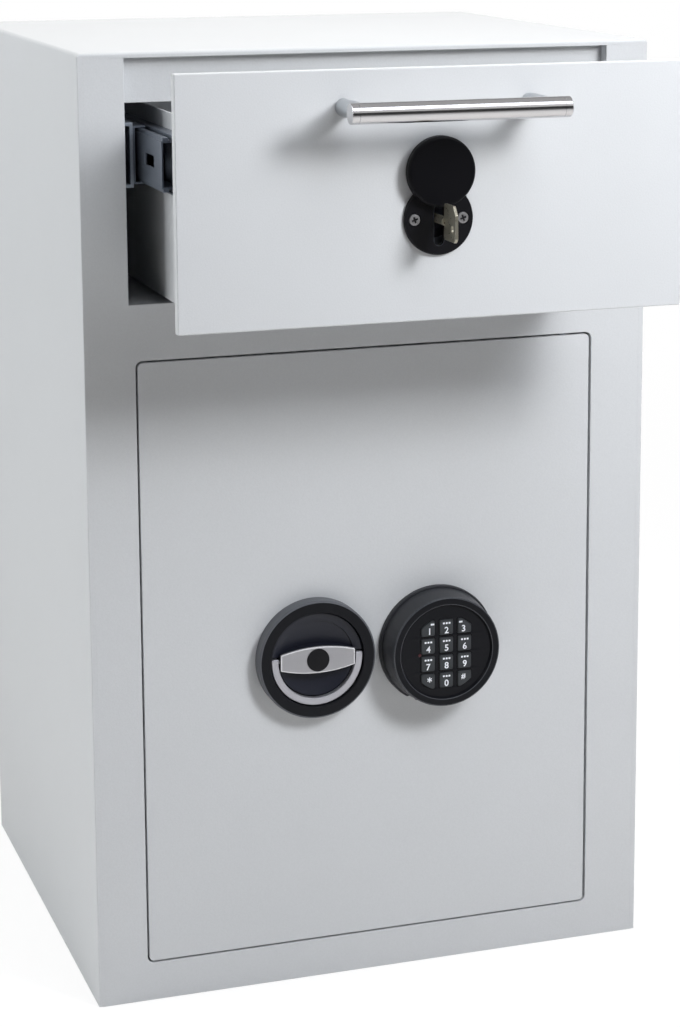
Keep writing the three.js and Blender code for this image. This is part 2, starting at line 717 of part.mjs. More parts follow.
// Drawer: the front plate, a folded box open at the rear of its floor, and the sloping tray in it.
function makeDrawer() {
  const drawer = new THREE.Group();
  const frontX = [-bayHalf + drawerGap, bayHalf - drawerGap];
  const frontZ = [drawerFloor + drawerGap, openingTop - drawerGap];
  const panel = block(frontX, [0, drawerFrontThickness], frontZ);
  const keyBore = barY(keyBarrelRadius, -1, drawerFrontThickness + 1, 0, drawerLockZ, 32);
  const screwEnd = screwLength - rosetteHeight + fitGap;
  const screwBores = [-1, 1].map((side) =>
    barY(screwShankRadius + fitGap, -1, screwEnd, side * rosetteScrewSpacing / 2, drawerLockZ, 12));
  piece(drawer, 'drawer_front', cut(panel, keyBore, ...screwBores), 'lightGrey');

  const half = drawerBoxHalf;
  const [low, high] = [drawerBoxBottom, drawerBoxTop];
  const rear = drawerBoxRear;
  const start = drawerFrontThickness;
  const outer = block([-half, half], [start, rear], [low, high]);
  const hollow = block([-half + drawerSheet, half - drawerSheet], [start - 1, rear - drawerSheet],
    [low + drawerSheet, high + 1]);
  const floor = block([-half + drawerFlange, half - drawerFlange], [start - 1, rear - drawerFlange / 2],
    [low - 1, low + drawerSheet + 1]);
  piece(drawer, 'drawer_box', cut(outer, hollow, floor), 'lightGrey');
  piece(drawer, 'drawer_tray', trayGeometry(), 'lightGrey');
  return drawer;
}

// One bent sheet: a riser behind the lock, a slope down to the rear, and a foot on the box's flanges.
// The floor ends there, so that in the closed drawer what lies on the slope drops through the divider.
function trayGeometry() {
  const half = drawerBoxHalf - drawerSheet - fitGap;
  const t = drawerSheet;
  const footTop = drawerBoxBottom + 2 * t;
  const top = drawerBoxTop - trayTopGap;
  const bend = drawerBoxTop - trayRiserHeight;
  const riser = drawerFrontThickness + drawerLockDepth + trayLockGap;
  const footStart = dropFront - trayFoot;
  const points = [
    [riser, top],
    [riser, bend],
    [footStart, footTop - t],
    [dropFront, footTop - t],
    [dropFront, footTop],
    [footStart, footTop],
    [riser + t, bend + t],
    [riser + t, top],
  ];
  return profileAlongX(points, -half, half);
}

// A rail's section, drawn from the beam towards the drawer, made into a rail on the left side.
function railGeometry(section) {
  const shape = new THREE.Shape(section.map(([u, v]) => new THREE.Vector2(railX + u, runnerZ + v)));
  return plate(shape, runnerStart, runnerEnd);
}

function outerSection() {
  const [half, t, flange] = [runnerHeight / 2, runnerSheet, runnerFlange];
  return [[0, -half], [flange, -half], [flange, -half + t], [t, -half + t], [t, half - t], [flange, half - t],
    [flange, half], [0, half]];
}

function innerSection() {
  return outerSection().map(([u, v]) => [runnerThickness - u, -v]);
}

// The middle rail is a channel whose flanges carry a bearing row under each of the two other rails.
function middleSection() {
  const t = runnerSheet;
  const half = runnerHeight / 2 - t - bearingHeight;
  const reach = runnerHeight / 2 - t - fitGap;
  const web = middleRailInset;
  const end = runnerThickness - middleRailInset;
  const first = [web + bearingWebGap, runnerFlange - bearingInset];
  const second = first.map((u) => runnerThickness - u).reverse();
  const upper = [[web, half], [first[0], half], [first[0], reach], [first[1], reach], [first[1], half],
    [second[0], half], [second[0], reach], [second[1], reach], [second[1], half], [end, half],
    [end, half - t], [web + t, half - t]];
  const lower = upper.map(([u, v]) => [u, -v]).reverse();
  return [...upper, ...lower];
}

// The beam is a channel between the cabinet's wall and the rail, with its web against the rail.
function beamShape() {
  const [low, high] = [runnerZ - beamHeight / 2, runnerZ + beamHeight / 2];
  const shape = new THREE.Shape();
  shape.moveTo(-innerHalf, low).lineTo(railX, low).lineTo(railX, high).lineTo(-innerHalf, high);
  shape.lineTo(-innerHalf, high - beamSheet).lineTo(railX - beamSheet, high - beamSheet);
  shape.lineTo(railX - beamSheet, low + beamSheet).lineTo(-innerHalf, low + beamSheet).closePath();
  return shape;
}

// Runners: on each side a beam on the wall, the cabinet rail, the middle rail and the drawer rail.
function makeRunners(fixed, halfway, moving) {
  const beam = plate(beamShape(), runnerStart, runnerEnd);
  const slotStart = runnerStart + runnerSlotSetback;
  const slot = block([railX, railX + runnerThickness / 2], [slotStart, slotStart + runnerSlotLength],
    [runnerZ - runnerSlotHeight / 2, runnerZ + runnerSlotHeight / 2]);
  const middle = cut(railGeometry(middleSection()), slot);
  const rails = [
    [fixed, 'runner_beam', beam],
    [fixed, 'outer_rail', geometryOf(solidOf(railGeometry(outerSection())))],
    [halfway, 'middle_rail', middle],
    [moving, 'inner_rail', geometryOf(solidOf(railGeometry(innerSection())))],
  ];
  for (const [group, name, geometry] of rails) {
    piece(group, `${name}_left`, geometry, 'zincSteel');
    piece(group, `${name}_right`, mirroredX(geometry), 'zincSteel');
  }
}

// The round bar handle on two posts, each coped to the bar.
function makePull(drawer) {
  const z = openingTop - drawerGap - pullDrop;
  const bar = barX(pullRadius, -pullLength / 2, pullLength / 2, -pullStandoff, z, 32);
  piece(drawer, 'pull_bar', bar, 'stainless');
  const cope = barX(pullRadius + fitGap, -pullLength / 2, pullLength / 2, -pullStandoff, z, 32);
  for (const [side, name] of [[-1, 'left'], [1, 'right']]) {
    const post = barY(pullPostRadius, -pullStandoff, 0, side * pullSpacing / 2, z);
    piece(drawer, `pull_post_${name}`, cut(post, cope), 'satinSilver');
  }
}

// The drawer's lock: rosette, screws, case, bar, key, and the swinging cover over the keyhole.
function makeDrawerLock(drawer) {
  const z = drawerLockZ;
  const pinZ = z + swingCoverDistance / 2;
  const disc = turned([[0, 0], [rosetteRadius, 0], [rosetteRadius, rosetteHeight - 0.8],
    [rosetteRadius - 0.8, rosetteHeight], [0, rosetteHeight]], 0, 0, z);
  const slotHalf = keyStemRadius + keyholeGap;
  const keyhole = plate(rectangle(-slotHalf, slotHalf, z - keyholeBelow, z + keyholeAbove, slotHalf - 0.01),
    -rosetteHeight - 1, 1);
  const pinBore = barY(swingPinRadius + fitGap, -rosetteHeight - 1, 1, 0, pinZ, 16);
  const screwX = [-rosetteScrewSpacing / 2, rosetteScrewSpacing / 2];
  const seats = screwX.map((x) => barY(screwHeadRadius + fitGap, -rosetteHeight - 1,
    -rosetteHeight + screwHeadHeight + fitGap, x, z, 20));
  const bores = screwX.map((x) => barY(screwShankRadius + fitGap, -rosetteHeight - 1, 1, x, z, 12));
  piece(drawer, 'lock_rosette', cut(disc, keyhole, pinBore, ...seats, ...bores), 'blackPlastic');
  for (const [i, name] of ['left', 'right'].entries()) {
    const seat = -rosetteHeight;
    const head = barY(screwHeadRadius, seat, seat + screwHeadHeight, screwX[i], z, 20);
    const shank = barY(screwShankRadius, seat + 0.5, seat + screwLength, screwX[i], z, 12);
    piece(drawer, `rosette_screw_${name}`, unite(head, shank), 'nickel');
  }

  const back = drawerFrontThickness;
  const caseZ = [z - drawerLockHeight / 2, z + drawerLockHeight / 2];
  const lockCase = block([-drawerLockWidth / 2, drawerLockWidth / 2], [back, back + drawerLockDepth], caseZ);
  const barrel = barY(keyBarrelRadius, back - 1, back + drawerLockDepth - 2, 0, z, 32);
  const barDepths = [back + lockBarSetback, back + lockBarSetback + lockBarThickness];
  const channel = block([-lockBarWidth / 2 - fitGap, lockBarWidth / 2 + fitGap],
    [barDepths[0] - fitGap, barDepths[1] + fitGap], [z, caseZ[1] + 1]);
  piece(drawer, 'drawer_lock_case', cut(lockCase, barrel, channel), 'zincSteel');

  const lockBar = block([-lockBarWidth / 2, lockBarWidth / 2], barDepths,
    [z + keyBarrelRadius + 1, headerBottom - lockBarHeaderGap]);
  piece(drawer, 'drawer_lock_bar', lockBar, 'nickel');

  const coverZ = z + swingCoverDistance;
  const top = swingCoverHeight;
  const cap = turned([[0, 0], [swingCoverRadius, 0], [swingCoverRadius, top - 2],
    [swingCoverRadius - 0.6, top - 0.6], [swingCoverRadius - 2, top], [0, top]],
  -rosetteHeight - fitGap, 0, coverZ);
  const pin = barY(swingPinRadius, -rosetteHeight - fitGap - 1, -fitGap, 0, pinZ, 16);
  piece(drawer, 'keyhole_cover', unite(cap, pin), 'blackPlastic');

  const stemEnd = back + lockBarSetback + lockBarThickness;
  const stem = barY(keyStemRadius, -keyBowStart - 2, stemEnd, 0, z, 16);
  const bow = block([-keyBowThickness / 2, keyBowThickness / 2], [-keyBowStart - keyBowLength, -keyBowStart],
    [z - keyBowHeight / 2, z + keyBowHeight / 2]);
  const bit = block([-keyBitThickness / 2, keyBitThickness / 2], [stemEnd - keyBitLength, stemEnd],
    [z - keyBarrelRadius + keyBitGap, z + keyBarrelRadius - keyBitGap]);
  piece(drawer, 'drawer_key', unite(stem, bow, bit), 'nickel');
}

const safe = new THREE.Group();
const cabinet = makeCabinet();
const drawer = makeDrawer();
const halfwayRails = new THREE.Group();
makeRunners(cabinet, halfwayRails, drawer);
makePull(drawer);
makeDrawerLock(drawer);
drawer.position.y = -drawerOut;
halfwayRails.position.y = -drawerOut / 2;
safe.add(cabinet, makeDoor(), makeBoltwork(), makeHandle(), makeKeypad(), halfwayRails, drawer);

export default safe;
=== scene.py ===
"""Looks of a drop safe with a deposit drawer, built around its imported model.

Sizes are millimetres until a mesh is made, which is in metres. X runs to the right as seen
from the front, Y runs into the cabinet and Z runs upwards. Places come from the model's nodes.
"""

import json
import logging
import math
from collections.abc import Sequence
from dataclasses import dataclass
from enum import Enum

import bmesh
import bpy
import numpy as np
from mathutils import Matrix, Vector
from mathutils.geometry import tessellate_polygon

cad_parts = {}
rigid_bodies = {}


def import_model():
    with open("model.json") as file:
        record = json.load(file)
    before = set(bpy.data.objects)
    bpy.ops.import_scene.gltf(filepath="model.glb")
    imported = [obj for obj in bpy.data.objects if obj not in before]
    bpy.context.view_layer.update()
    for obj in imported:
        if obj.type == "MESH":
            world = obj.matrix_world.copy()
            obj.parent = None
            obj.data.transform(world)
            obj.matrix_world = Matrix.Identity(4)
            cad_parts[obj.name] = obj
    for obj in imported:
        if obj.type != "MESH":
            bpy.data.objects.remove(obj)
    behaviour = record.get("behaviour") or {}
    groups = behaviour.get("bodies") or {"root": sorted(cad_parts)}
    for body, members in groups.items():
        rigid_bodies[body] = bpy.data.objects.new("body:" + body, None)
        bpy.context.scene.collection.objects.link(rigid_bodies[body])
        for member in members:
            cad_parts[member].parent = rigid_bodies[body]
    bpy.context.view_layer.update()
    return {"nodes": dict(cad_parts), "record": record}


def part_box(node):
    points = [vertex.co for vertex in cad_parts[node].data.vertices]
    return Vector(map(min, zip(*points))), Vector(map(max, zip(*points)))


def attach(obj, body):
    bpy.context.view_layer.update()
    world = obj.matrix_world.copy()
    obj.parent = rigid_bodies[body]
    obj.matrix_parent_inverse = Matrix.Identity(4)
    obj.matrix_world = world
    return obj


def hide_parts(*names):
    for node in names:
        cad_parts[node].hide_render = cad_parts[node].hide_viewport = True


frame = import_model()

LOG = logging.getLogger("drop_safe")
METRE = 1000.0
# Points nearer than these count as one: of a mesh, in metres, and of an outline or a node's copy.
MERGE = 1e-6
NEAR = 1e-5
# Corners whose half angle lies outside these two aren't rounded: folded back, or straight on.
FOLDED, STRAIGHT = 0.02, 1.55
# The least divisor of a mitre, which limits how far a sharp corner is moved.
MITRE = 0.3
# The share of its normal along Y from which a rail's face counts as sheared.
SHEARED = 0.9
# The range of a grain's tone that is carried to the full range of colour and gloss.
TONES = (0.3, 0.7)
WHITE = (1.0, 1.0, 1.0, 1.0)
Array = np.ndarray
Pairs = Sequence[tuple[float, float]]


class Along(Enum):
    """The axis that a prism or a turned piece follows, after its two flat axes."""

    X = (1, 2, 0)
    Y = (0, 2, 1)
    Z = (0, 1, 2)

    def place(self, flat: Array, depth: Array | float) -> Array:
        """Puts flat pairs and their place along the axis into space.

        Args:
            flat: Pairs, in an array whose last axis holds two values.
            depth: The coordinate along the axis, one value or one for each pair.

        Returns:
            The points, in an array whose last axis holds three values.
        """
        points = np.empty(flat.shape[:-1] + (3,))
        points[..., self.value[:2]] = flat
        points[..., self.value[2]] = depth
        return points


@dataclass(frozen=True)
class Span:
    """The box of a node of the model at rest, in millimetres."""

    low: tuple[float, float, float]
    high: tuple[float, float, float]

    @classmethod
    def of(cls, node: str) -> "Span":
        """Reads the box of a node."""
        low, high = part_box(node)
        return cls(tuple(v * METRE for v in low), tuple(v * METRE for v in high))

    @property
    def middle(self) -> tuple[float, float, float]:
        """The centre of the box."""
        return tuple((a + b) / 2 for a, b in zip(self.low, self.high))

    @property
    def size(self) -> tuple[float, float, float]:
        """The three lengths of the box."""
        return tuple(b - a for a, b in zip(self.low, self.high))

    @property
    def depth(self) -> tuple[float, float]:
        """The front and the back of the box along Y."""
        return self.low[1], self.high[1]

    @property
    def front(self) -> tuple[float, float]:
        """The centre of the box as seen from the front, in X and Z."""
        return self.middle[0], self.middle[2]

    def outline(self, radius: float = 0.0, steps: int = 4) -> Array:
        """The box as seen from the front, with round corners."""
        return box_outline((self.low[0], self.high[0]), (self.low[2], self.high[2]), radius, steps)


def unit(vectors: Array) -> Array:
    """Scales vectors to length one, and leaves those of no length."""
    length = np.linalg.norm(vectors, axis=-1, keepdims=True)
    return vectors / np.where(length < MERGE, 1.0, length)


def bearings(angle: Array) -> Array:
    """The unit pairs that point at angles."""
    return np.stack([np.cos(angle), np.sin(angle)], -1)


def spaced(line: Array, closed: bool = True) -> Array:
    """Drops each point of an outline that lies on the one before it.

    Args:
        line: The outline.
        closed: Whether its last point joins the first.

    Returns:
        The outline with the points that are left.
    """
    apart = np.linalg.norm(line - np.roll(line, 1, 0), axis=1) > NEAR
    apart[0] |= not closed
    return line[apart]


def rounded(points: Pairs, radii: float | Sequence[float], steps: int = 4, closed: bool = True) -> Array:
    """Rounds the corners of an outline.

    Each corner becomes the arc of its radius that touches both of its sides. The arc's
    centre lies on the bisector, at the radius over the sine of half the corner's angle.

    Args:
        points: The corners in order.
        radii: One radius for all corners or one for each.
        steps: How many pieces an arc has.
        closed: Whether the last corner joins the first.

    Returns:
        The rounded outline as an array of pairs.
    """
    corner = np.asarray(points, float)
    radius = np.array(np.broadcast_to(np.asarray(radii, float), len(corner)))
    if not closed:
        radius[[0, -1]] = 0.0
    before = unit(np.roll(corner, 1, 0) - corner)
    after = unit(np.roll(corner, -1, 0) - corner)
    half = np.arccos(np.clip((before * after).sum(1), -1.0, 1.0)) / 2
    radius[(half < FOLDED) | (half > STRAIGHT)] = 0.0
    half[radius == 0.0] = 1.0
    reach = (radius / np.tan(half))[:, None]
    centre = corner + unit(before + after) * (radius / np.sin(half))[:, None]
    start, end = corner + before * reach - centre, corner + after * reach - centre
    first = np.arctan2(start[:, 1], start[:, 0])
    turn = (np.arctan2(end[:, 1], end[:, 0]) - first + np.pi) % (2 * np.pi) - np.pi
    angle = first[:, None] + turn[:, None] * np.linspace(0, 1, steps + 1)
    arc = centre[:, None] + radius[:, None, None] * bearings(angle)
    return spaced(arc.reshape(-1, 2), closed)


def circle(radius: float, centre: tuple[float, float] = (0.0, 0.0), count: int = 96) -> Array:
    """Points at equal angles on a circle, counter-clockwise."""
    angle = np.linspace(0, 2 * np.pi, count, endpoint=False)
    return np.asarray(centre) + radius * bearings(angle)


def box_outline(x: Sequence[float], z: Sequence[float], radius: float = 0.0, steps: int = 4) -> Array:
    """A rectangle between two pairs of limits, with round corners."""
    corners = [(x[0], z[0]), (x[1], z[0]), (x[1], z[1]), (x[0], z[1])]
    return rounded(corners, radius, steps)


def dense(outline: Array, step: float) -> Array:
    """Divides every side of a closed outline into the same number of even pieces.

    Args:
        outline: The outline.
        step: The length that no piece passes.

    Returns:
        The outline with the added points.
    """
    following = np.roll(outline, -1, 0)
    pieces = int(np.ceil(np.linalg.norm(following - outline, axis=1).max() / step))
    share = np.linspace(0, 1, pieces, endpoint=False)[None, :, None]
    return spaced((outline[:, None] * (1 - share) + following[:, None] * share).reshape(-1, 2))


def turned_left(outline: Array, left: bool = True) -> Array:
    """Puts an outline in counter-clockwise order, or in clockwise order.

    Twice its area is the sum, over its sides, of the cross product of the side's two ends.
    It is positive for a counter-clockwise order.

    Args:
        outline: The outline.
        left: Whether the order is counter-clockwise.

    Returns:
        The outline in that order.
    """
    following = np.roll(outline, -1, 0)
    area = (outline[:, 0] * following[:, 1] - following[:, 0] * outline[:, 1]).sum()
    return outline if (area > 0) == left else outline[::-1]


def strips_between(profile: Array, low: float, high: float, loop: bool = False) -> Array:
    """Marks each strip of a profile whose middle radius lies between two radii.

    Args:
        profile: Pairs of a radius and a height.
        low: The lower radius.
        high: The higher radius.
        loop: Whether the profile closes on itself.

    Returns:
        One for each such strip and nought for the others.
    """
    following = np.roll(profile, -1, 0) if loop else profile[1:]
    middle = (profile[:len(following), 0] + following[:, 0]) / 2
    return ((middle > low) & (middle < high)).astype(int)


def drawn_in(outline: Array, distance: Array | float) -> Array:
    """Moves a closed outline to its left, along the mitre of each point's two sides.

    The mitre is the sum of the two sides' normals over one more than their dot product.

    Args:
        outline: The outline.
        distance: How far it moves, one value or one for each point.

    Returns:
        The moved outline.
    """
    side = unit(np.roll(outline, -1, 0) - outline)
    normal = np.stack([-side[:, 1], side[:, 0]], -1)
    last = np.roll(normal, 1, 0)
    mitre = (normal + last) / np.maximum(1 + (normal * last).sum(1, keepdims=True), MITRE)
    return outline + mitre * np.broadcast_to(distance, len(outline))[:, None]


def linked(name: str, data: bpy.types.ID) -> bpy.types.Object:
    """Makes an object of its data and adds it to the scene.

    Args:
        name: The object's name.
        data: Its mesh, curve, lamp or camera.

    Returns:
        The object.
    """
    item = bpy.data.objects.new(name, data)
    bpy.context.scene.collection.objects.link(item)
    return item


def coordinates(mesh: bpy.types.Mesh) -> Array:
    """Reads the places of a mesh's points.

    Args:
        mesh: The mesh.

    Returns:
        The places, three values each.
    """
    values = np.empty(len(mesh.vertices) * 3)
    mesh.vertices.foreach_get("co", values)
    return values.reshape(-1, 3)


class Surface:
    """The points and faces of one mesh, gathered from grids, walls, caps and turned shapes."""

    def __init__(self) -> None:
        """Starts without a point or a face."""
        self.points: list[Array] = []
        self.faces: list[list[int]] = []
        self.marks: list[int] = []
        self.count = 0

    def add(self, points: Array, faces: list[list[int]], mark: int | Array = 0) -> "Surface":
        """Adds points, and faces that name them by their place in the list.

        Args:
            points: The points, three values each.
            faces: The faces' point numbers.
            mark: The number of the finish that the faces have, one or one for each face.

        Returns:
            This surface.
        """
        self.points.append(np.asarray(points, float).reshape(-1, 3))
        self.faces.extend([[i + self.count for i in face] for face in faces])
        self.marks.extend(np.broadcast_to(mark, len(faces)).tolist())
        self.count += len(self.points[-1])
        return self

    def grid(self, points: Array, loop: bool = False, mark: int | Array = 0) -> "Surface":
        """Adds a grid of quads between neighbouring rows and columns. Each row closes on itself.

        Args:
            points: Rows of columns of points.
            loop: Whether the last row joins the first.
            mark: The number of the finish, one or one for each row of quads.

        Returns:
            This surface.
        """
        rows, columns = points.shape[:2]
        index = np.arange(rows * columns).reshape(rows, columns)
        index = np.concatenate([index, index[:, :1]], 1)
        if loop:
            index = np.concatenate([index, index[:1]], 0)
        quads = np.stack([index[:-1, :-1], index[:-1, 1:], index[1:, 1:], index[1:, :-1]], -1)
        marks = np.repeat(np.broadcast_to(mark, len(quads)), quads.shape[1])
        return self.add(points, quads.reshape(-1, 4).tolist(), marks)

    def cap(self, loops: Sequence[Array], depth: float, along: Along = Along.Y, mark: int = 0) -> "Surface":
        """Closes the flat area between an outline and the holes in it, with triangles where it has holes.

        Args:
            loops: The outline, and after it the holes.
            depth: The area's place along the axis.
            along: The axis.
            mark: The number of the finish.

        Returns:
            This surface.
        """
        points = along.place(np.concatenate(loops), depth)
        if len(loops) == 1:
            return self.add(points, [list(range(len(points)))], mark)
        rings = [[Vector((*pair, 0.0)) for pair in ring.tolist()] for ring in loops]
        return self.add(points, [list(face) for face in tessellate_polygon(rings)], mark)

    def wall(self, outline: Array, start: float, end: float, edge: Array | float = 0.0, steps: int = 3,
             along: Along = Along.Y, ends: tuple[int, int] = (1, 1), mark: int = 0,
             rim_mark: int | None = None) -> tuple[Array, Array]:
        """Carries a closed outline along an axis, with its rims rounded.

        A rim is a quarter circle: at angle a the outline is drawn in by the edge times
        one less the sine of a, and lies behind its end by the edge times one less the cosine.

        Args:
            outline: The outline. Its left side is the solid one.
            start: Where it starts along the axis.
            end: Where it ends.
            edge: The rims' radius, one value or one for each point.
            steps: How many pieces a rim has.
            along: The axis.
            ends: One for a rim that is rounded and zero for one that isn't, at start and end.
            mark: The number of the finish.
            rim_mark: The number of the rims' finish, if it is another.

        Returns:
            The outlines that are left open at the start and at the end, for a cap.
        """
        angle = np.linspace(0, np.pi / 2, steps + 1)
        size = np.array(np.broadcast_to(np.asarray(edge, float), len(outline)))
        sign = 1.0 if end > start else -1.0
        rims = []
        for limit, way, used in ((start, sign, ends[0]), (end, -sign, ends[1])):
            rings = np.stack([drawn_in(outline, used * size * (1 - np.sin(a))) for a in angle])
            depth = limit + way * used * size[None] * (1 - np.cos(angle))[:, None]
            rims.append(along.place(rings, depth))
        rim = mark if rim_mark is None else rim_mark
        self.grid(rims[0], mark=rim).grid(np.stack([rims[0][-1], rims[1][-1]]), mark=mark)
        self.grid(rims[1][::-1], mark=rim)
        return tuple(drawn_in(outline, used * size) for used in ends)

    def prism(self, outline: Array, start: float, end: float, edge: Array | float = 0.0,
              holes: Sequence[Array] = (), hole_edge: float = 0.0, steps: int = 3,
              along: Along = Along.Y) -> "Surface":
        """Adds a closed prism with rounded rims and with holes right through it.

        Args:
            outline: The outer outline.
            start: Where it starts along the axis.
            end: Where it ends.
            edge: The outer rims' radius.
            holes: The outlines of the holes.
            hole_edge: The holes' rims' radius.
            steps: How many pieces a rim has.
            along: The axis.

        Returns:
            This surface.
        """
        open_loops = [self.wall(turned_left(outline), start, end, edge, steps, along)]
        for hole in holes:
            open_loops.append(self.wall(turned_left(hole, False), start, end, hole_edge, steps, along))
        self.cap([loops[0] for loops in open_loops], start, along)
        return self.cap([loops[1] for loops in open_loops], end, along)

    def lathe(self, profile: Array | Pairs, centre: tuple[float, float], base: float, sign: float = -1.0,
              along: Along = Along.Y, count: int = 96, loop: bool = False,
              mark: int | Array = 0) -> "Surface":
        """Turns a profile about an axis: a radius and a height go round a full circle.

        Args:
            profile: Pairs of a radius and a height.
            centre: The axis' place in the two flat directions.
            base: Where height nought is along the axis.
            sign: The way that heights grow along the axis.
            along: The axis.
            count: How many points go round.
            loop: Whether the profile closes on itself.
            mark: The number of the finish, one or one for each strip of the profile.

        Returns:
            This surface.
        """
        line = np.asarray(profile, float)
        ring = circle(1.0, count=count)
        flat = np.asarray(centre) + line[:, None, :1] * ring[None]
        return self.grid(along.place(flat, base + sign * line[:, 1:2]), loop=loop, mark=mark)

    def rod(self, radius: float, length: float, edges: tuple[float, float], centre: tuple[float, float],
            base: float, sign: float = 1.0, along: Along = Along.Y, count: int = 32, steps: int = 4,
            crown: float = 0.0) -> "Surface":
        """Turns a solid cylinder.

        Args:
            radius: Its radius.
            length: Its length.
            edges: The radii of its rims at the base and at the far end.
            centre: The axis' place in the two flat directions.
            base: Where it starts along the axis.
            sign: The way that it grows along the axis.
            along: The axis.
            count: How many points go round.
            steps: How many pieces a rim has.
            crown: How far the middle of the far end rises above its rim.

        Returns:
            This surface.
        """
        corners = [(0, 0), (radius, 0), (radius, length), (0, length + crown)]
        return self.lathe(rounded(corners, [0, *edges, 0], steps, False), centre, base, sign, along, count)

    def sweep(self, section: Array, path: Array, up: Sequence[float], edge: float = 0.0,
              steps: int = 4) -> "Surface":
        """Carries a section along a path in a plane, with its two ends rounded and closed.

        The section's first axis lies along the tangent crossed with up, the second along up.

        Args:
            section: A closed outline, counter-clockwise.
            path: The points that its centre follows.
            up: The plane's normal.
            edge: The radius at the two ends.
            steps: How many pieces an end's rounding has.

        Returns:
            This surface.
        """
        rise = np.asarray(up, float)
        tangent = unit(np.gradient(path, axis=0))
        angle = np.linspace(0, np.pi / 2, steps + 1)
        sink = (edge * (1 - np.cos(angle)))[:, None]
        line = np.concatenate([path[0] + tangent[0] * sink, path[1:-1],
                               (path[-1] - tangent[-1] * sink)[::-1]])
        ways = np.concatenate([np.repeat(tangent[:1], steps + 1, 0), tangent[1:-1],
                               np.repeat(tangent[-1:], steps + 1, 0)])
        rims = np.stack([drawn_in(section, edge * (1 - np.sin(a))) for a in angle])
        middle = np.repeat(section[None], len(path) - 2, 0)
        outlines = np.concatenate([rims, middle, rims[::-1]])
        across = np.cross(ways, rise)
        points = line[:, None] + across[:, None] * outlines[..., :1] + rise * outlines[..., 1:]
        self.grid(points)
        ends = list(range(len(section)))
        return self.add(points[0], [ends]).add(points[-1], [ends])

    def text(self, words: str, height: float, centre: tuple[float, float], depth: float, proud: float,
             bold: float, mark: int) -> "Surface":
        """Adds raised figures that face the front.

        Args:
            words: What is written.
            height: The size of the figures.
            centre: Their middle in X and Z.
            depth: The Y of the face that they stand on.
            proud: How far they stand out of it.
            bold: How far their outlines are moved outwards.
            mark: The number of the finish.

        Returns:
            This surface.
        """
        curve = bpy.data.curves.new("figure", "FONT")
        curve.body, curve.size, curve.extrude = words, height, proud
        curve.offset = bold
        curve.align_x, curve.align_y = "CENTER", "CENTER"
        curve.resolution_u = 4
        holder = linked("figure", curve)
        bpy.context.view_layer.update()
        mesh = bpy.data.meshes.new_from_object(holder)
        local = coordinates(mesh)
        middle = (local.min(0) + local.max(0)) / 2
        points = np.stack([centre[0] + local[:, 0] - middle[0], depth - local[:, 2],
                           centre[1] + local[:, 1] - middle[1]], -1)
        self.add(points, [list(face.vertices) for face in mesh.polygons], mark)
        for block, store in ((holder, bpy.data.objects), (curve, bpy.data.curves), (mesh, bpy.data.meshes)):
            store.remove(block)
        return self

    def mesh(self, name: str) -> bpy.types.Mesh:
        """Makes the mesh in metres: doubles merged, and faces turned outwards.

        Args:
            name: The mesh's name.

        Returns:
            The mesh.
        """
        mesh = bpy.data.meshes.new(name)
        mesh.from_pydata((np.concatenate(self.points) / METRE).tolist(), [], self.faces)
        mesh.polygons.foreach_set("material_index", np.asarray(self.marks, np.int32))
        work = bmesh.new()
        work.from_mesh(mesh)
        bmesh.ops.remove_doubles(work, verts=work.verts, dist=MERGE)
        bmesh.ops.dissolve_degenerate(work, edges=work.edges, dist=MERGE)
        bmesh.ops.recalc_face_normals(work, faces=work.faces)
        work.to_mesh(mesh)
        work.free()
        return mesh


class Graph:
    """A node tree under construction."""

    def __init__(self, tree: bpy.types.NodeTree) -> None:
        """Keeps the tree that the nodes go into."""
        self.tree = tree

    @classmethod
    def of(cls, block: bpy.types.Material | bpy.types.World) -> "Graph":
        """Starts the node tree of a material or a world.

        Args:
            block: The material or the world, whose own nodes are cleared.

        Returns:
            The empty tree.
        """
        block.use_nodes = True
        block.node_tree.nodes.clear()
        return cls(block.node_tree)

    def add(self, kind: str, settings: dict[str, object] | None = None,
            inputs: dict[str | int, object] | None = None) -> bpy.types.Node:
        """Adds a node, sets its properties, and sets or links its inputs.

        Args:
            kind: The node's type, without its first word.
            settings: The node's properties by name.
            inputs: Values or sockets, by the name or number of the input.

        Returns:
            The node.
        """
        node = self.tree.nodes.new("ShaderNode" + kind)
        for key, value in (settings or {}).items():
            setattr(node, key, value)
        for key, value in (inputs or {}).items():
            if isinstance(value, bpy.types.NodeSocket):
                self.tree.links.new(value, node.inputs[key])
            else:
                node.inputs[key].default_value = value
        return node

    def math(self, operation: str, *values: object) -> bpy.types.NodeSocket:
        """Adds a Math node and returns its result."""
        return self.add("Math", {"operation": operation}, dict(enumerate(values))).outputs[0]

    def link(self, source: bpy.types.NodeSocket, sink: bpy.types.NodeSocket) -> None:
        """Links an output to an input."""
        self.tree.links.new(source, sink)

    def noise(self, vector: bpy.types.NodeSocket, scale: object, detail: float) -> bpy.types.NodeSocket:
        """Adds a noise and returns its value."""
        return self.add("TexNoise", inputs={"Vector": vector, "Scale": scale, "Detail": detail}).outputs[0]

    def remap(self, value: bpy.types.NodeSocket, start: float, end: float, low: float,
              high: float) -> bpy.types.NodeSocket:
        """Carries a value evenly from one range to another and returns it."""
        limits = {"From Min": start, "From Max": end, "To Min": low, "To Max": high}
        return self.add("MapRange", inputs={"Value": value, **limits}).outputs[0]

    def seen(self) -> bpy.types.NodeSocket:
        """Returns one for rays that reach the eye straight or through glass, and nought for others."""
        rays = self.add("LightPath").outputs
        return self.math("MAXIMUM", rays["Is Camera Ray"], rays["Is Transmission Ray"])


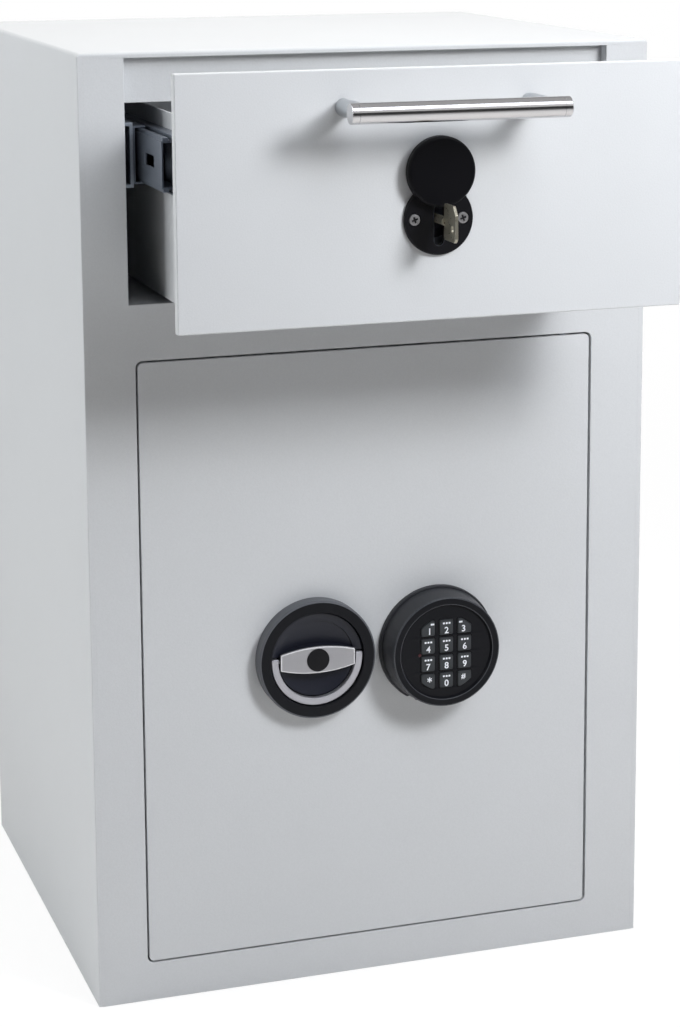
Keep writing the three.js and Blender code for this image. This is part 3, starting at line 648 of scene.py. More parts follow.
def grain_tree(fine: bool) -> bpy.types.NodeTree:
    """The shared node group of a grain, built on first use.

    The fine grain of a coating or moulding has two sizes of noise for height and a wide one
    for tone. Brushed or drawn metal has a noise that is stretched by a vector, so that it
    runs in lines.

    Args:
        fine: Whether it is the fine grain.

    Returns:
        The group, which gives a height and a tone.
    """
    name, size, kind = ("fine_grain", "Scale", "Float") if fine else ("brushed_lines", "Stretch", "Vector")
    if name in bpy.data.node_groups:
        return bpy.data.node_groups[name]
    tree = bpy.data.node_groups.new(name, "ShaderNodeTree")
    for key, way, value in (("Vector", "INPUT", "Vector"), (size, "INPUT", kind),
                            ("Height", "OUTPUT", "Float"), ("Tone", "OUTPUT", "Float")):
        tree.interface.new_socket(name=key, in_out=way, socket_type=f"NodeSocket{value}")
    graph = Graph(tree)
    place, scale = tree.nodes.new("NodeGroupInput").outputs[:2]
    height, tone = tree.nodes.new("NodeGroupOutput").inputs[:2]
    if fine:
        main, share = graph.noise(place, scale, 2.0), 0.75
        small = graph.noise(place, graph.math("MULTIPLY", scale, 2.7), 1.0)
        wide = graph.noise(place, graph.math("MULTIPLY", scale, 0.02), 2.0)
        graph.link(graph.math("MULTIPLY_ADD", small, 0.4, main), height)
    else:
        drawn = graph.add("VectorMath", {"operation": "MULTIPLY"}, {0: place, 1: scale}).outputs[0]
        main, share = graph.noise(drawn, 1.0, 3.0), 0.6
        wide = graph.noise(place, 60.0, 2.0)
        graph.link(main, height)
    graph.link(graph.math("MULTIPLY_ADD", main, share, graph.math("MULTIPLY", wide, 1 - share)), tone)
    return tree


class Grain(Enum):
    """How a finish is marked: an even grain, or lines that run along an axis."""

    FINE = (1.0, 1.0, 1.0)
    ALONG_X = (0.02, 1.0, 1.0)
    ALONG_Y = (1.0, 0.02, 1.0)
    ALONG_Z = (1.0, 1.0, 0.02)


def linear(colour: Sequence[float]) -> tuple[float, float, float, float]:
    """Turns a colour of 0 to 255 into the renderer's linear values.

    A dark share is divided by 12.92. Any other has 0.055 added, is divided by 1.055 and
    is raised to the power of 2.4.

    Args:
        colour: Red, green and blue.

    Returns:
        The three linear values, and one for full cover.
    """
    share = np.asarray(colour, float) / 255
    value = np.where(share <= 0.04045, share / 12.92, ((share + 0.055) / 1.055) ** 2.4)
    return (*value.tolist(), 1.0)


@dataclass(frozen=True)
class Finish:
    """A finish of the safe, with its colour, gloss and grain. Relief is in millimetres."""

    name: str
    slot: str
    colour: tuple[float, float, float]
    roughness: float
    metallic: float = 0.0
    grain: Grain = Grain.FINE
    scale: float = 900.0
    relief: float = 0.05
    tone: float = 0.02
    smear: float = 0.05
    specular: float = 0.5
    glow: float = 0.0

    def material(self) -> bpy.types.Material:
        """The material, made on first use."""
        made = bpy.data.materials.get(self.name)
        return made if made else self._make()

    def _make(self) -> bpy.types.Material:
        """Builds the nodes: grain or lines set tone, roughness and relief around the plain values.

        Returns:
            The material.
        """
        material = bpy.data.materials.new(self.name)
        graph = Graph.of(material)
        fine = self.grain is Grain.FINE
        group = graph.add("Group", {"node_tree": grain_tree(fine)})
        stretch = [self.scale * share for share in self.grain.value]
        group.inputs[1].default_value = self.scale if fine else stretch
        graph.link(graph.add("TexCoord").outputs["Object"], group.inputs["Vector"])
        tone = group.outputs["Tone"]
        plain = np.asarray(linear(self.colour)[:3])
        low, high = plain * (1 - self.tone), np.minimum(plain * (1 + self.tone), 1.0)
        shade = graph.add("Mix", {"data_type": "RGBA"}, {"Factor": graph.remap(tone, *TONES, 0.0, 1.0)})
        for socket, value in zip([s for s in shade.inputs if s.type == "RGBA"], (low, high)):
            socket.default_value = (*value.tolist(), 1.0)
        gloss = graph.remap(tone, *TONES, self.roughness - self.smear, self.roughness + self.smear)
        relief = graph.add("Bump", inputs={
            "Height": group.outputs["Height"], "Strength": 1.0, "Distance": self.relief / METRE})
        colours = [s for s in shade.outputs if s.type == "RGBA"]
        shader = graph.add("BsdfPrincipled", inputs={
            "Base Color": colours[0], "Roughness": gloss, "Metallic": self.metallic,
            "Normal": relief.outputs[0], "Specular IOR Level": self.specular})
        if self.glow:
            shader.inputs["Emission Color"].default_value = (*plain, 1.0)
            shader.inputs["Emission Strength"].default_value = self.glow
        graph.add("OutputMaterial", inputs={"Surface": shader.outputs[0]})
        return material


def moulded(name: str, colour: tuple[float, float, float], roughness: float, relief: float, tone: float,
            specular: float = 0.5) -> Finish:
    """Makes a finish of the black plastic."""
    return Finish(name, "black_plastic", colour, roughness, scale=1500.0, relief=relief, tone=tone,
                  specular=specular)


COATING = Finish("powder_coat", "light_grey", (206, 208, 210), 0.6, relief=0.07, tone=0.025)
PLASTIC = moulded("moulded_black", (20, 21, 25), 0.36, 0.015, 0.12, 0.15)
# Painted light: the handle ring's outer wall and shoulder, the same black plastic made lighter where light
# catches them.
LIT_WALL = moulded("moulded_wall_painted_light", (92, 94, 99), 0.42, 0.01, 0.08, 0.3)
# Painted sheen: the rotor's dish, black plastic made lighter and bluer to stand in for the reflection on it.
DISH_SHEEN = moulded("dish_black_painted_sheen", (30, 32, 42), 0.4, 0.01, 0.12, 0.35)
CASING = moulded("casing_black", (19, 20, 24), 0.34, 0.02, 0.12, 0.14)
# Painted light: the keypad's base and the housing's tapered side, the same black plastic made lighter where
# light falls on them.
LIT_SIDE = moulded("casing_side_painted_light", (46, 47, 51), 0.42, 0.015, 0.12, 0.3)
# Painted highlight: the housing's outer and inner rim edges and the rosette slot's edge, coloured lighter as
# if catching the light.
EDGE_HIGHLIGHT = moulded("casing_edge_painted_highlight", (58, 60, 65), 0.3, 0.003, 0.08)
MATT = moulded("matt_black", (12, 12, 16), 0.5, 0.02, 0.15, 0.25)
COVER = moulded("cover_black", (12, 12, 15), 0.5, 0.01, 0.15, 0.12)
RUBBER = Finish("key_rubber", "key_rubber", (24, 25, 33), 0.5, relief=0.015, scale=1800.0, tone=0.08,
                specular=0.07)
PRINT = Finish("white_print", "key_rubber", (236, 239, 244), 0.5, relief=0.002, scale=2500.0, tone=0.03)
POLISHED = Finish("polished_steel", "stainless", (206, 205, 206), 0.17, 1.0, Grain.ALONG_X, 2500.0,
                  0.0002, 0.02, 0.02)
SATIN = Finish("satin_metal", "satin_silver", (170, 170, 174), 0.4, 0.7, Grain.ALONG_Z, 2600.0, 0.002, 0.05)
HOOP = Finish("satin_hoop", "satin_silver", (182, 182, 188), 0.38, 0.6, relief=0.002, scale=2600.0, tone=0.03)
# Partly painted highlight: the bar's polished bevel, a nearly white and mostly unmetallic colour that stands
# in for its bright reflection.
BEVEL_HIGHLIGHT = Finish("polished_bevel_painted_highlight", "satin_silver", (244, 244, 246), 0.25, 0.25, relief=0.001, scale=2600.0)
POST = Finish("satin_post", "satin_silver", (190, 194, 198), 0.36, 0.8, Grain.ALONG_Y, 2200.0, 0.002, 0.05)
ZINC = Finish("zinc_plate", "zinc_steel", (150, 158, 168), 0.38, 0.6, relief=0.003, scale=420.0, tone=0.1,
              smear=0.08)
RAIL = Finish("drawn_rail", "zinc_steel", (112, 119, 130), 0.34, 0.6, Grain.ALONG_Y, 1500.0, 0.0015, 0.06)
# Bare cut steel and painted light: the rails' sheared ends, coloured near white to lift them out of the shade
# they lie in.
CUT_AND_LIGHT = Finish("cut_edge_and_painted_light", "zinc_steel", (238, 240, 244), 0.5, relief=0.003, scale=1500.0, tone=0.05)
STEEL = Finish("turned_steel", "stainless", (200, 202, 205), 0.22, 0.9, Grain.ALONG_X, 2200.0, 0.001, 0.04)
NICKEL = Finish("worn_nickel", "nickel", (172, 168, 152), 0.3, 0.8, relief=0.001, scale=500.0, tone=0.05)
SCREW = Finish("screw_nickel", "nickel", (146, 145, 146), 0.36, 0.5, relief=0.003, tone=0.08)
# Painted shade: the screws' cross recess, the same nickel-plated metal coloured dark for the shade inside it.
RECESS_SHADE = Finish("screw_recess_painted_shade", "nickel", (48, 48, 50), 0.5, 0.4, relief=0.003, tone=0.08)
CAST = Finish("cast_lock", "satin_silver", (150, 152, 156), 0.5, 0.6, relief=0.03, scale=1200.0, tone=0.1)
SIGNAL = Finish("signal_lens", "black_plastic", (66, 28, 32), 0.3, relief=0.0, scale=2000.0, tone=0.05,
                glow=0.02)


class Workshop:
    """Makes the pieces from surfaces and dresses them."""

    def __init__(self) -> None:
        """Reads from the record which body each node belongs to."""
        bodies = frame["record"]["behaviour"]["bodies"]
        self.body_of = {node: body for body, nodes in bodies.items() for node in nodes}
        self.made: list[bpy.types.Object] = []

    def finish(self, piece: bpy.types.Object, body: str, finishes: Sequence[Finish], nodes: Sequence[str],
               sharp: float = 35.0) -> bpy.types.Object:
        """Gives a piece its finishes, shading and body, and hides the nodes that it stands for.

        Args:
            piece: The object.
            body: The body that it rides on.
            finishes: Its finishes by number.
            nodes: The nodes that it replaces.
            sharp: The angle in degrees past which an edge stays sharp.

        Returns:
            The piece.
        """
        if piece.data.materials:
            piece.data.materials.clear()
        for finish in finishes:
            piece.data.materials.append(finish.material())
        piece.data.shade_smooth()
        piece.data.set_sharp_from_angle(angle=math.radians(sharp))
        weighted = piece.modifiers.new("even_faces", "WEIGHTED_NORMAL")
        weighted.keep_sharp = True
        weighted.weight = 60
        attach(piece, body)
        if nodes:
            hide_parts(*nodes)
        self.made.append(piece)
        LOG.info("%s rides on %s with %d faces", piece.name, body, len(piece.data.polygons))
        return piece

    def piece(self, name: str, surface: Surface, body: str, *finishes: Finish, nodes: Sequence[str] = (),
              sharp: float = 35.0) -> bpy.types.Object:
        """Makes a piece from a surface."""
        return self.finish(linked(name, surface.mesh(name)), body, finishes, nodes, sharp)

    def node(self, node: str, surface: Surface, *finishes: Finish, sharp: float = 35.0) -> bpy.types.Object:
        """Makes the piece that stands for one node, on that node's body."""
        return self.piece(f"{node}_form", surface, self.body_of[node], *finishes, nodes=[node], sharp=sharp)

    def eased(self, node: str, finish: Finish, width: float, steps: int = 2,
              cut: Finish | None = None) -> bpy.types.Object:
        """Makes a copy of a node with merged faces and with its edges eased by a bevel.

        Args:
            node: The node.
            finish: The finish of the copy.
            width: The bevel's width.
            steps: How many pieces the bevel has.
            cut: The finish of the sheared faces, which are square to Y, if they show bare metal; it is partly
                painted light.

        Returns:
            The copy, which stands for the node.
        """
        mesh = frame["nodes"][node].data.copy()
        mesh.name = f"{node}_form"
        work = bmesh.new()
        work.from_mesh(mesh)
        bmesh.ops.remove_doubles(work, verts=work.verts, dist=NEAR)
        bmesh.ops.dissolve_limit(work, angle_limit=math.radians(1), verts=work.verts, edges=work.edges)
        work.normal_update()
        for face in work.faces:
            face.material_index = int(cut is not None and abs(face.normal.y) > SHEARED)
        work.to_mesh(mesh)
        work.free()
        item = linked(f"{node}_form", mesh)
        bevel = item.modifiers.new("eased_edges", "BEVEL")
        bevel.width, bevel.segments = width / METRE, steps
        bevel.limit_method, bevel.angle_limit = "ANGLE", math.radians(32)
        bevel.use_clamp_overlap = True
        return self.finish(item, self.body_of[node], [finish, cut] if cut else [finish], [node])

    def united(self, name: str, surfaces: Sequence[Surface]) -> Surface:
        """Joins overlapping closed surfaces into one skin.

        Args:
            name: What the names of the working objects start with.
            surfaces: The surfaces.

        Returns:
            The skin as one surface.
        """
        parts = [linked(f"{name}_{i}", surface.mesh(f"{name}_{i}")) for i, surface in enumerate(surfaces)]
        for other in parts[1:]:
            join = parts[0].modifiers.new("join", "BOOLEAN")
            join.operation, join.solver, join.object = "UNION", "EXACT", other
        bpy.context.view_layer.update()
        done = bpy.data.meshes.new_from_object(parts[0].evaluated_get(bpy.context.evaluated_depsgraph_get()))
        marks = np.empty(len(done.polygons), np.int32)
        done.polygons.foreach_get("material_index", marks)
        whole = Surface().add(coordinates(done) * METRE, [list(face.vertices) for face in done.polygons])
        whole.marks = marks.tolist()
        for part in parts:
            bpy.data.objects.remove(part)
        return whole


@dataclass
class Cabinet:
    """The welded cabinet: folded wrap, back, base, front frame, header and the drawer bay's plates."""

    shop: Workshop
    fold_radius: float = 3.0
    rim: float = 0.9
    top_rim: float = 2.2
    opening_rim: float = 0.3
    seam_rim: float = 0.12
    plate_rim: float = 0.4
    door_corner: float = 5.0
    door_gap: float = 1.5
    hinge_gap: float = 2.0
    drawer_gap: float = 1.2
    hole_radius: float = 6.0
    hole_rim: float = 0.6
    hole_inset: float = 75.0

    def build(self) -> None:
        """Builds every piece of the cabinet."""
        self.wrap()
        self.front_frame()
        self.back()
        for node in ("base_plate", "divider_shelf", "header_plate"):
            self.shop.eased(node, COATING, self.plate_rim)
        self.shop.eased("drop_baffle", ZINC, self.plate_rim)

    def wrap(self) -> None:
        """The sheet over both sides and the top. Only the open edges are rounded, the top's by more."""
        outer, frame_span = Span.of("body_wrap"), Span.of("front_frame")
        x, z = outer.high[0], (outer.low[2], outer.high[2])
        inner, top, bay = frame_span.high[0], frame_span.high[2], Span.of("drawer_front").high[0]
        corners = [(-x, z[0]), (-inner, z[0]), (-inner, top), (-bay, top), (bay, top), (inner, top),
                   (inner, z[0]), (x, z[0]), (x, z[1]), (-x, z[1])]
        line = turned_left(rounded(corners, [0] * 8 + [self.fold_radius] * 2, 6))
        outside = (np.abs(line[:, 0]) > inner + 0.5) | (line[:, 1] > top + 0.5)
        share = np.clip((line[:, 1] - z[1]) / self.fold_radius + 1, 0, 1)
        edge = np.where(outside, self.rim + (self.top_rim - self.rim) * share, self.seam_rim)
        surface = Surface().prism(line, *outer.depth, edge, steps=4)
        self.shop.node("body_wrap", surface, COATING)

    def front_frame(self) -> None:
        """The thick frame around the door and the drawer, with only its openings' edges rounded."""
        span, front = Span.of("front_frame"), Span.of("drawer_front")
        bay, floor = front.high[0] + self.drawer_gap, front.low[2] - self.drawer_gap
        x, z = span.high[0], span.high[2]
        corners = [(-x, 0.0), (x, 0.0), (x, z), (bay, z), (bay, floor), (-bay, floor), (-bay, z), (-x, z)]
        line = turned_left(np.asarray(corners, float))
        inside = np.abs(line[:, 0]) < bay + 0.1
        edge = np.where(inside, self.opening_rim, self.seam_rim)
        surface = Surface().prism(line, *span.depth, edge, [self.door_opening()], self.opening_rim)
        self.shop.node("front_frame", surface, COATING)

    def door_opening(self) -> Array:
        """The outline of the door's opening: the door with its gaps.

        Returns:
            The outline, counter-clockwise.
        """
        door = Span.of("door_plate")
        x = (door.low[0] - self.door_gap, door.high[0] + self.hinge_gap)
        z = (door.low[2] - self.door_gap, door.high[2] + self.door_gap)
        return box_outline(x, z, self.door_corner, 6)

    def back(self) -> None:
        """The back plate with its two anchor holes."""
        span, floor = Span.of("back_panel"), Span.of("divider_shelf").high[2]
        x, z = span.high[0] - self.hole_inset, floor - self.hole_inset
        holes = [circle(self.hole_radius, (side * x, z), 48) for side in (-1, 1)]
        surface = Surface().prism(span.outline(), *span.depth, self.plate_rim, holes, self.hole_rim)
        self.shop.node("back_panel", surface, COATING)


@dataclass
class Door:
    """The door with its hinge pins, the boltwork behind it and the electronic lock."""

    shop: Workshop
    corner: float = 3.5
    rim: float = 0.3
    thick: float = 10.0
    spindle_bore: float = 6.3
    lead_bore: float = 2.8
    stud_radius: float = 4.0
    stud_inset: float = 16.0
    stud_root: float = 1.0
    bolts: tuple[str, ...] = ("bottom", "middle", "top")
    bolt_rims: tuple[float, float] = (3.0, 0.3)
    pin_rims: tuple[float, float] = (0.8, 0.8)

    def build(self) -> None:
        """Builds every piece of the door and of its boltwork."""
        self.plate()
        self.shop.eased("boltwork_cover", COATING, 0.5)
        for node in ("bolt_guide", "bolt_carriage"):
            self.shop.eased(node, ZINC, 0.4)
        self.shop.eased("lock_case", CAST, 1.2, 3)
        self.shop.eased("lock_bolt", NICKEL, 0.8, 3)
        for name in self.bolts:
            self.bolt(f"bolt_{name}")
        for name in ("bottom", "top"):
            self.pin(f"hinge_pin_{name}")

    def plate(self) -> None:
        """The door plate: a rounded rectangle with the spindle's and the lead's holes and two studs."""
        span = Span.of("door_plate")
        back = span.low[1] + self.thick
        line = span.outline(self.corner, 6)
        holes = [circle(self.spindle_bore, Span.of("handle_ring").front, 48),
                 circle(self.lead_bore, Span.of("keypad_base").front, 32)]
        surfaces = [Surface().prism(line, span.low[1], back, self.rim, holes, 0.3, steps=4)]
        x = Span.of("bolt_carriage").low[0] + self.stud_inset
        bolts = [Span.of(f"bolt_{name}").middle[2] for name in self.bolts]
        reach = span.high[1] - back + self.stud_root
        for below, above in zip(bolts, bolts[1:]):
            centre = (x, (below + above) / 2)
            surfaces.append(Surface().rod(self.stud_radius, reach, (0, 0.5), centre, back - self.stud_root))
        self.shop.node("door_plate", self.shop.united("door", surfaces), COATING)

    def bolt(self, node: str) -> None:
        """A round bolt: a cylinder along X whose nose is rounded.

        Args:
            node: The bolt's node.
        """
        span = Span.of(node)
        surface = Surface().rod(span.size[2] / 2, span.size[0], self.bolt_rims, span.middle[1:],
                                span.low[0], along=Along.X, count=64, steps=6)
        self.shop.node(node, surface, STEEL)

    def pin(self, node: str) -> None:
        """A hinge pin: a short cylinder along Z with eased ends.

        Args:
            node: The pin's node.
        """
        span = Span.of(node)
        surface = Surface().rod(span.size[0] / 2, span.size[2], self.pin_rims, span.middle[:2],
                                span.low[2], along=Along.Z, count=40)
        self.shop.node(node, surface, ZINC)


@dataclass
class Handle:
    """The turning handle: fixed ring, dished rotor, lens-shaped bar, cap, folding bail and spindle."""

    shop: Workshop
    ring_width: float = 9.1
    ring_taper: float = 1.2
    shoulder: float = 1.7
    bowl_floor: float = 2.2
    lip_height: float = 8.8
    lip_width: float = 1.0
    inner_rows: int = 26
    channel_floor: float = 2.6
    ledge: float = 0.7
    channel_angle: float = 7.0
    bar_end: float = 12.0
    bar_sheet: float = 2.5
    bevel: float = 0.8
    bail_width: float = 5.4
    bail_depth: float = 5.0
    bail_play: float = 0.8
    rotor_play: float = 0.3
    bowl_power: float = 2.2
    inner_rise: float = 4.4
    pivot_radius: float = 1.2
    pivot_overlap: float = 3.5

    def __post_init__(self) -> None:
        """Reads the handle's place from the model."""
        ring, bar = Span.of("handle_ring"), Span.of("handle_bar")
        self.centre = ring.front
        self.base = ring.high[1]
        self.radius = ring.size[0] / 2
        self.height = ring.size[1]
        self.bar_length, self.bar_height = bar.size[0], bar.size[2]
        self.bail_outer = Span.of("handle_bail").size[0] / 2

    def build(self) -> None:
        """Builds every piece of the handle."""
        self.ring()
        self.rotor()
        self.bar()
        self.cap()
        self.bail()
        self.shop.eased("handle_spindle", ZINC, 0.4)

    def ring(self) -> None:
        """The fixed ring: a turned section with a round shoulder and a round inner lip. Its outer wall and
        shoulder are painted lighter, as where light catches them.
        """
        inner, outer, top = self.radius - self.ring_width, self.radius, self.height
        corners = [(inner, 0), (outer, 0), (outer, top - 0.2), (outer - self.ring_taper, top), (inner, top)]
        profile = rounded(corners, [0, 0.2, self.shoulder, 2.5, 0.8], 6)
        wall = strips_between(profile, outer - 1.5, outer + 1.0, True)
        surface = Surface().lathe(profile, self.centre, self.base, count=144, loop=True, mark=wall)
        self.shop.node("handle_ring", surface, PLASTIC, LIT_WALL)

    def lens(self) -> Array:
        """The bar's outline: two shallow arcs between two short straight ends.

        An arc's radius is half the sum of the squares of the half length and the rise, over the rise.

        Returns:
            The outline, counter-clockwise.
        """
        half, tall, end = self.bar_length / 2, self.bar_height / 2, self.bar_end / 2
        rise = tall - end
        radius = (half ** 2 + rise ** 2) / (2 * rise)
        x = np.linspace(half, -half, 41)
        upper = np.sqrt(radius ** 2 - x ** 2) - (radius - tall)
        line = np.concatenate([np.stack([x, upper], -1), np.stack([-x, -upper], -1)])
        return turned_left(line + np.asarray(self.centre))

    def rotor(self) -> None:
        """The dished rotor with the boss under the bar.

        The bowl's height grows with a power of the radius up to a lip, and steps down by a
        ledge inside the channel's radius. Below the pivots a channel for the bail runs along
        the rim, between two angles.
        """
        rim = self.radius - self.ring_width - self.rotor_play
        channel = self.bail_outer - self.bail_width - self.bail_play
        lip, rows = rim - self.lip_width, self.inner_rows
        radii = np.concatenate([
            np.linspace(0, channel - 0.6, rows), [channel - 0.25, channel, channel + 0.25],
            np.linspace(channel + 0.6, lip, 8), [rim - 0.5, rim - 0.15, rim]])
        edge = math.radians(self.channel_angle)
        open_angles = np.linspace(edge, np.pi - edge, 70)
        low_angles = np.linspace(np.pi - edge + 0.01, 2 * np.pi + edge - 0.01, 90)
        angle = np.concatenate([open_angles, low_angles])
        bowl = self.bowl_floor + (self.lip_height - self.bowl_floor) * (radii / lip) ** self.bowl_power
        bowl = np.minimum(bowl, self.lip_height) - self.ledge * (radii < channel)
        bowl[-3:] = self.lip_height - np.array([0.1, 0.35, 1.0])
        rise = self.inner_rise * (radii / channel) ** self.bowl_power
        inside = np.where(radii < channel, self.bowl_floor + rise, self.channel_floor)
        last = inside[rows - 1]
        inside[rows:rows + 3] = [last - 0.1, (last + self.channel_floor) / 2, self.channel_floor + 0.1]
        height = np.where((np.arange(len(angle)) < len(open_angles))[None], bowl[:, None], inside[:, None])
        flat = np.asarray(self.centre) + radii[:, None, None] * bearings(angle)[None]
        dish = Surface().grid(Along.Y.place(flat, self.base - height))
        back = self.base - self.rotor_play
        skirt = np.stack([self.base - height[-1], np.full(len(angle), back)])
        dish.grid(Along.Y.place(np.stack([flat[-1], flat[-1]]), skirt))
        dish.grid(Along.Y.place(np.stack([flat[-1], flat[0]]), back))
        top = self.base - self.height + self.bar_sheet
        boss = Surface().prism(self.lens(), self.base - 1.0, top, 0.0)
        # The dish's lighter, bluer colour is a painted sheen.
        self.shop.node("handle_rotor", self.shop.united("rotor", [dish, boss]), DISH_SHEEN)

    def bar(self) -> None:
        """The satin bar with its bright bevelled outline. The bevel is polished, and its brightness is partly
        a painted highlight.
        """
        top = self.base - self.height
        surface = Surface()
        loops = surface.wall(self.lens(), top + self.bar_sheet, top, self.bevel, 2, ends=(0, 1), rim_mark=1)
        surface.cap([loops[0]], top + self.bar_sheet).cap([loops[1]], top)
        self.shop.node("handle_bar", surface, SATIN, BEVEL_HIGHLIGHT, sharp=25.0)

    def cap(self) -> None:
        """The round black cap in the middle of the bar, slightly crowned."""
        span = Span.of("handle_cap")
        surface = Surface().rod(span.size[0] / 2, span.size[1], (0, 0.3), self.centre, span.high[1], -1.0,
                                count=72, crown=0.15)
        self.shop.node("handle_cap", surface, MATT)

    def bail(self) -> None:
        """The folding half hoop: a flat bar swept along a half circle and two short straight tips."""
        span = Span.of("handle_bail")
        middle = self.bail_outer - self.bail_width / 2
        depth = span.middle[1]
        tip = span.high[2] - self.centre[1]
        angle = np.linspace(0, np.pi, 73)
        arc = np.asarray(self.centre) + middle * bearings(-angle)
        ends = [np.array([[self.centre[0] + side * middle, self.centre[1] + tip]]) for side in (1, -1)]
        path = Along.Y.place(np.concatenate([ends[0], arc, ends[1]]), depth)
        section = box_outline((-self.bail_width / 2, self.bail_width / 2),
                              (-self.bail_depth / 2, self.bail_depth / 2), 0.7, 4)
        hoop = Surface().sweep(section, path, (0.0, 1.0, 0.0), 1.0)
        reach = middle - self.bar_length / 2 + self.pivot_overlap
        pins = [Surface().rod(self.pivot_radius, reach, (0, 0), (depth, self.centre[1]),
                              self.centre[0] + side * middle, -side, Along.X, 24) for side in (-1, 1)]
        self.shop.node("handle_bail", self.shop.united("bail", [hoop, *pins]), HOOP)


@dataclass
class Keypad:
    """The round keypad: base, housing with pockets, twelve keys with white figures and a signal light."""

    shop: Workshop
    rim_width: float = 5.2
    face_depth: float = 2.4
    sheet: float = 2.5
    pitch_x: float = 14.4
    pitch_z: float = 13.6
    key_x: float = 10.6
    key_z: float = 11.4
    field_radius: float = 28.5
    field_drop: float = 1.6
    key_proud: float = 1.3
    key_depth: float = 6.0
    key_gap: float = 0.3
    figure: float = 6.9
    bold: float = 0.11
    crown: float = 0.2
    bore: float = 2.8
    notch_angle: float = 243.0
    notch_half: float = 4.5
    notch_ramp: float = 1.5
    notch_depth: float = 1.4
    taper: float = 1.9
    well_slope: float = 1.6
    key_corner: float = 1.2
    key_step: float = 0.8
    key_edge: float = 0.7
    print_proud: float = 0.06
    pip_half: float = 0.75
    pip_z: tuple[float, float] = (2.6, 4.0)
    pip_depth: tuple[float, float] = (-0.05, 0.2)
    light_place: tuple[float, float] = (-20.6, -1.3)
    light_radius: float = 1.3

    def __post_init__(self) -> None:
        """Reads the keypad's place from the model."""
        base, housing = Span.of("keypad_base"), Span.of("keypad_housing")
        self.centre = base.front
        self.door = base.high[1]
        self.base_radius, self.base_height = base.size[0] / 2, base.size[1]
        self.low_radius = housing.size[0] / 2
        self.height = self.door - housing.low[1]
        self.top_radius = self.low_radius - self.taper
        self.face = self.height - self.face_depth

    def build(self) -> None:
        """Builds every piece of the keypad."""
        self.base()
        self.housing()
        names = ["1", "2", "3", "4", "5", "6", "7", "8", "9", "star", "0", "hash"]
        for number, name in enumerate(names):
            self.key(name, number % 3, number // 3)
        self.light()
        self.shop.eased("keypad_lead", CASING, 0.2)

    def base(self) -> None:
        """The base disc, turned, with a small notch in its rim for a tool.

        The rim's radius is less by the notch's depth within a few degrees of an angle, and
        the depth falls evenly to nought over the ramp at either side.
        """
        radius, height = self.base_radius, self.base_height
        corners = [(self.bore, 0), (radius, 0), (radius, height), (self.bore, height)]
        profile = rounded(corners, [0, 0, 1.0, 0], 5)
        angle = np.linspace(0, 2 * np.pi, 180, endpoint=False)
        away = np.abs((np.degrees(angle) - self.notch_angle + 180) % 360 - 180)
        notch = np.clip((self.notch_half - away) / self.notch_ramp, 0, 1) * self.notch_depth
        reach = profile[:, :1] - notch[None] * (profile[:, :1] > radius - 3)
        flat = np.asarray(self.centre) + reach[..., None] * bearings(angle)[None]
        points = Along.Y.place(flat, self.door - profile[:, 1:2])
        # The base takes the lighter side colour: painted light.
        self.shop.node("keypad_base", Surface().grid(points, loop=True), LIT_SIDE)

    def key_centre(self, column: int, row: int) -> tuple[float, float]:
        """The middle of a key's place in the grid, in X and Z."""
        return (self.centre[0] + (column - 1) * self.pitch_x,
                self.centre[1] - self.field_drop + (1.5 - row) * self.pitch_z)

    def key_outline(self, column: int, row: int, grow: float) -> Array:
        """A key's outline: a round-cornered rectangle, drawn onto the field's circle where it passes it.

        Args:
            column: The key's column, from nought.
            row: Its row, from nought.
            grow: How far the outline lies outside the key.

        Returns:
            The outline, counter-clockwise.
        """
        x, z = self.key_centre(column, row)
        half_x, half_z = self.key_x / 2 + grow, self.key_z / 2 + grow
        box = box_outline((x - half_x, x + half_x), (z - half_z, z + half_z), self.key_corner + grow, 5)
        line = dense(box, self.key_step)
        away = line - np.array([self.centre[0], self.centre[1] - self.field_drop])
        far = np.linalg.norm(away, axis=1, keepdims=True)
        limit = self.field_radius + grow
        return turned_left(line - away + away * np.minimum(1.0, limit / far))

    def housing(self) -> None:
        """The housing: a turned cup with a raised rim, whose face has a pocket for each key."""
        surface = Surface()
        low, top, foot, under = self.low_radius, self.top_radius, self.base_height, self.face - self.sheet
        rim = top - self.rim_width
        well = rim - self.well_slope
        corners = [(well, self.face), (rim - 0.3, self.height), (top, self.height), (low, foot),
                   (low - self.sheet, foot), (top - self.sheet, under), (well, under)]
        profile = rounded(corners, [0, 0.7, 1.1, 0, 0, 0, 0], 5, False)
        # The tapered side takes the lighter side colour (painted light), and the outer and inner rim edges
        # take the edge colour (painted highlight).
        painted_light_bands = ((top + 0.3, low + 1.0, 1), (top - 1.0, top + 0.3, 2), (rim - 0.9, rim + 0.5, 2))
        mark = sum(strips_between(profile, start, end) * finish for start, end, finish in painted_light_bands)
        outer = circle(well, self.centre, 144)
        surface.lathe(profile, self.centre, self.door, count=len(outer), mark=mark)
        fronts, backs = [outer], [outer]
        front_y, back_y = self.door - self.face, self.door - self.face + self.sheet
        for row in range(4):
            for column in range(3):
                pocket = turned_left(self.key_outline(column, row, self.key_gap), False)
                loops = surface.wall(pocket, front_y, back_y, 0.25, 2)
                fronts.append(loops[0])
                backs.append(loops[1])
        surface.cap(fronts, front_y).cap(backs, back_y)
        self.shop.node("keypad_housing", surface, CASING, LIT_SIDE, EDGE_HIGHLIGHT)

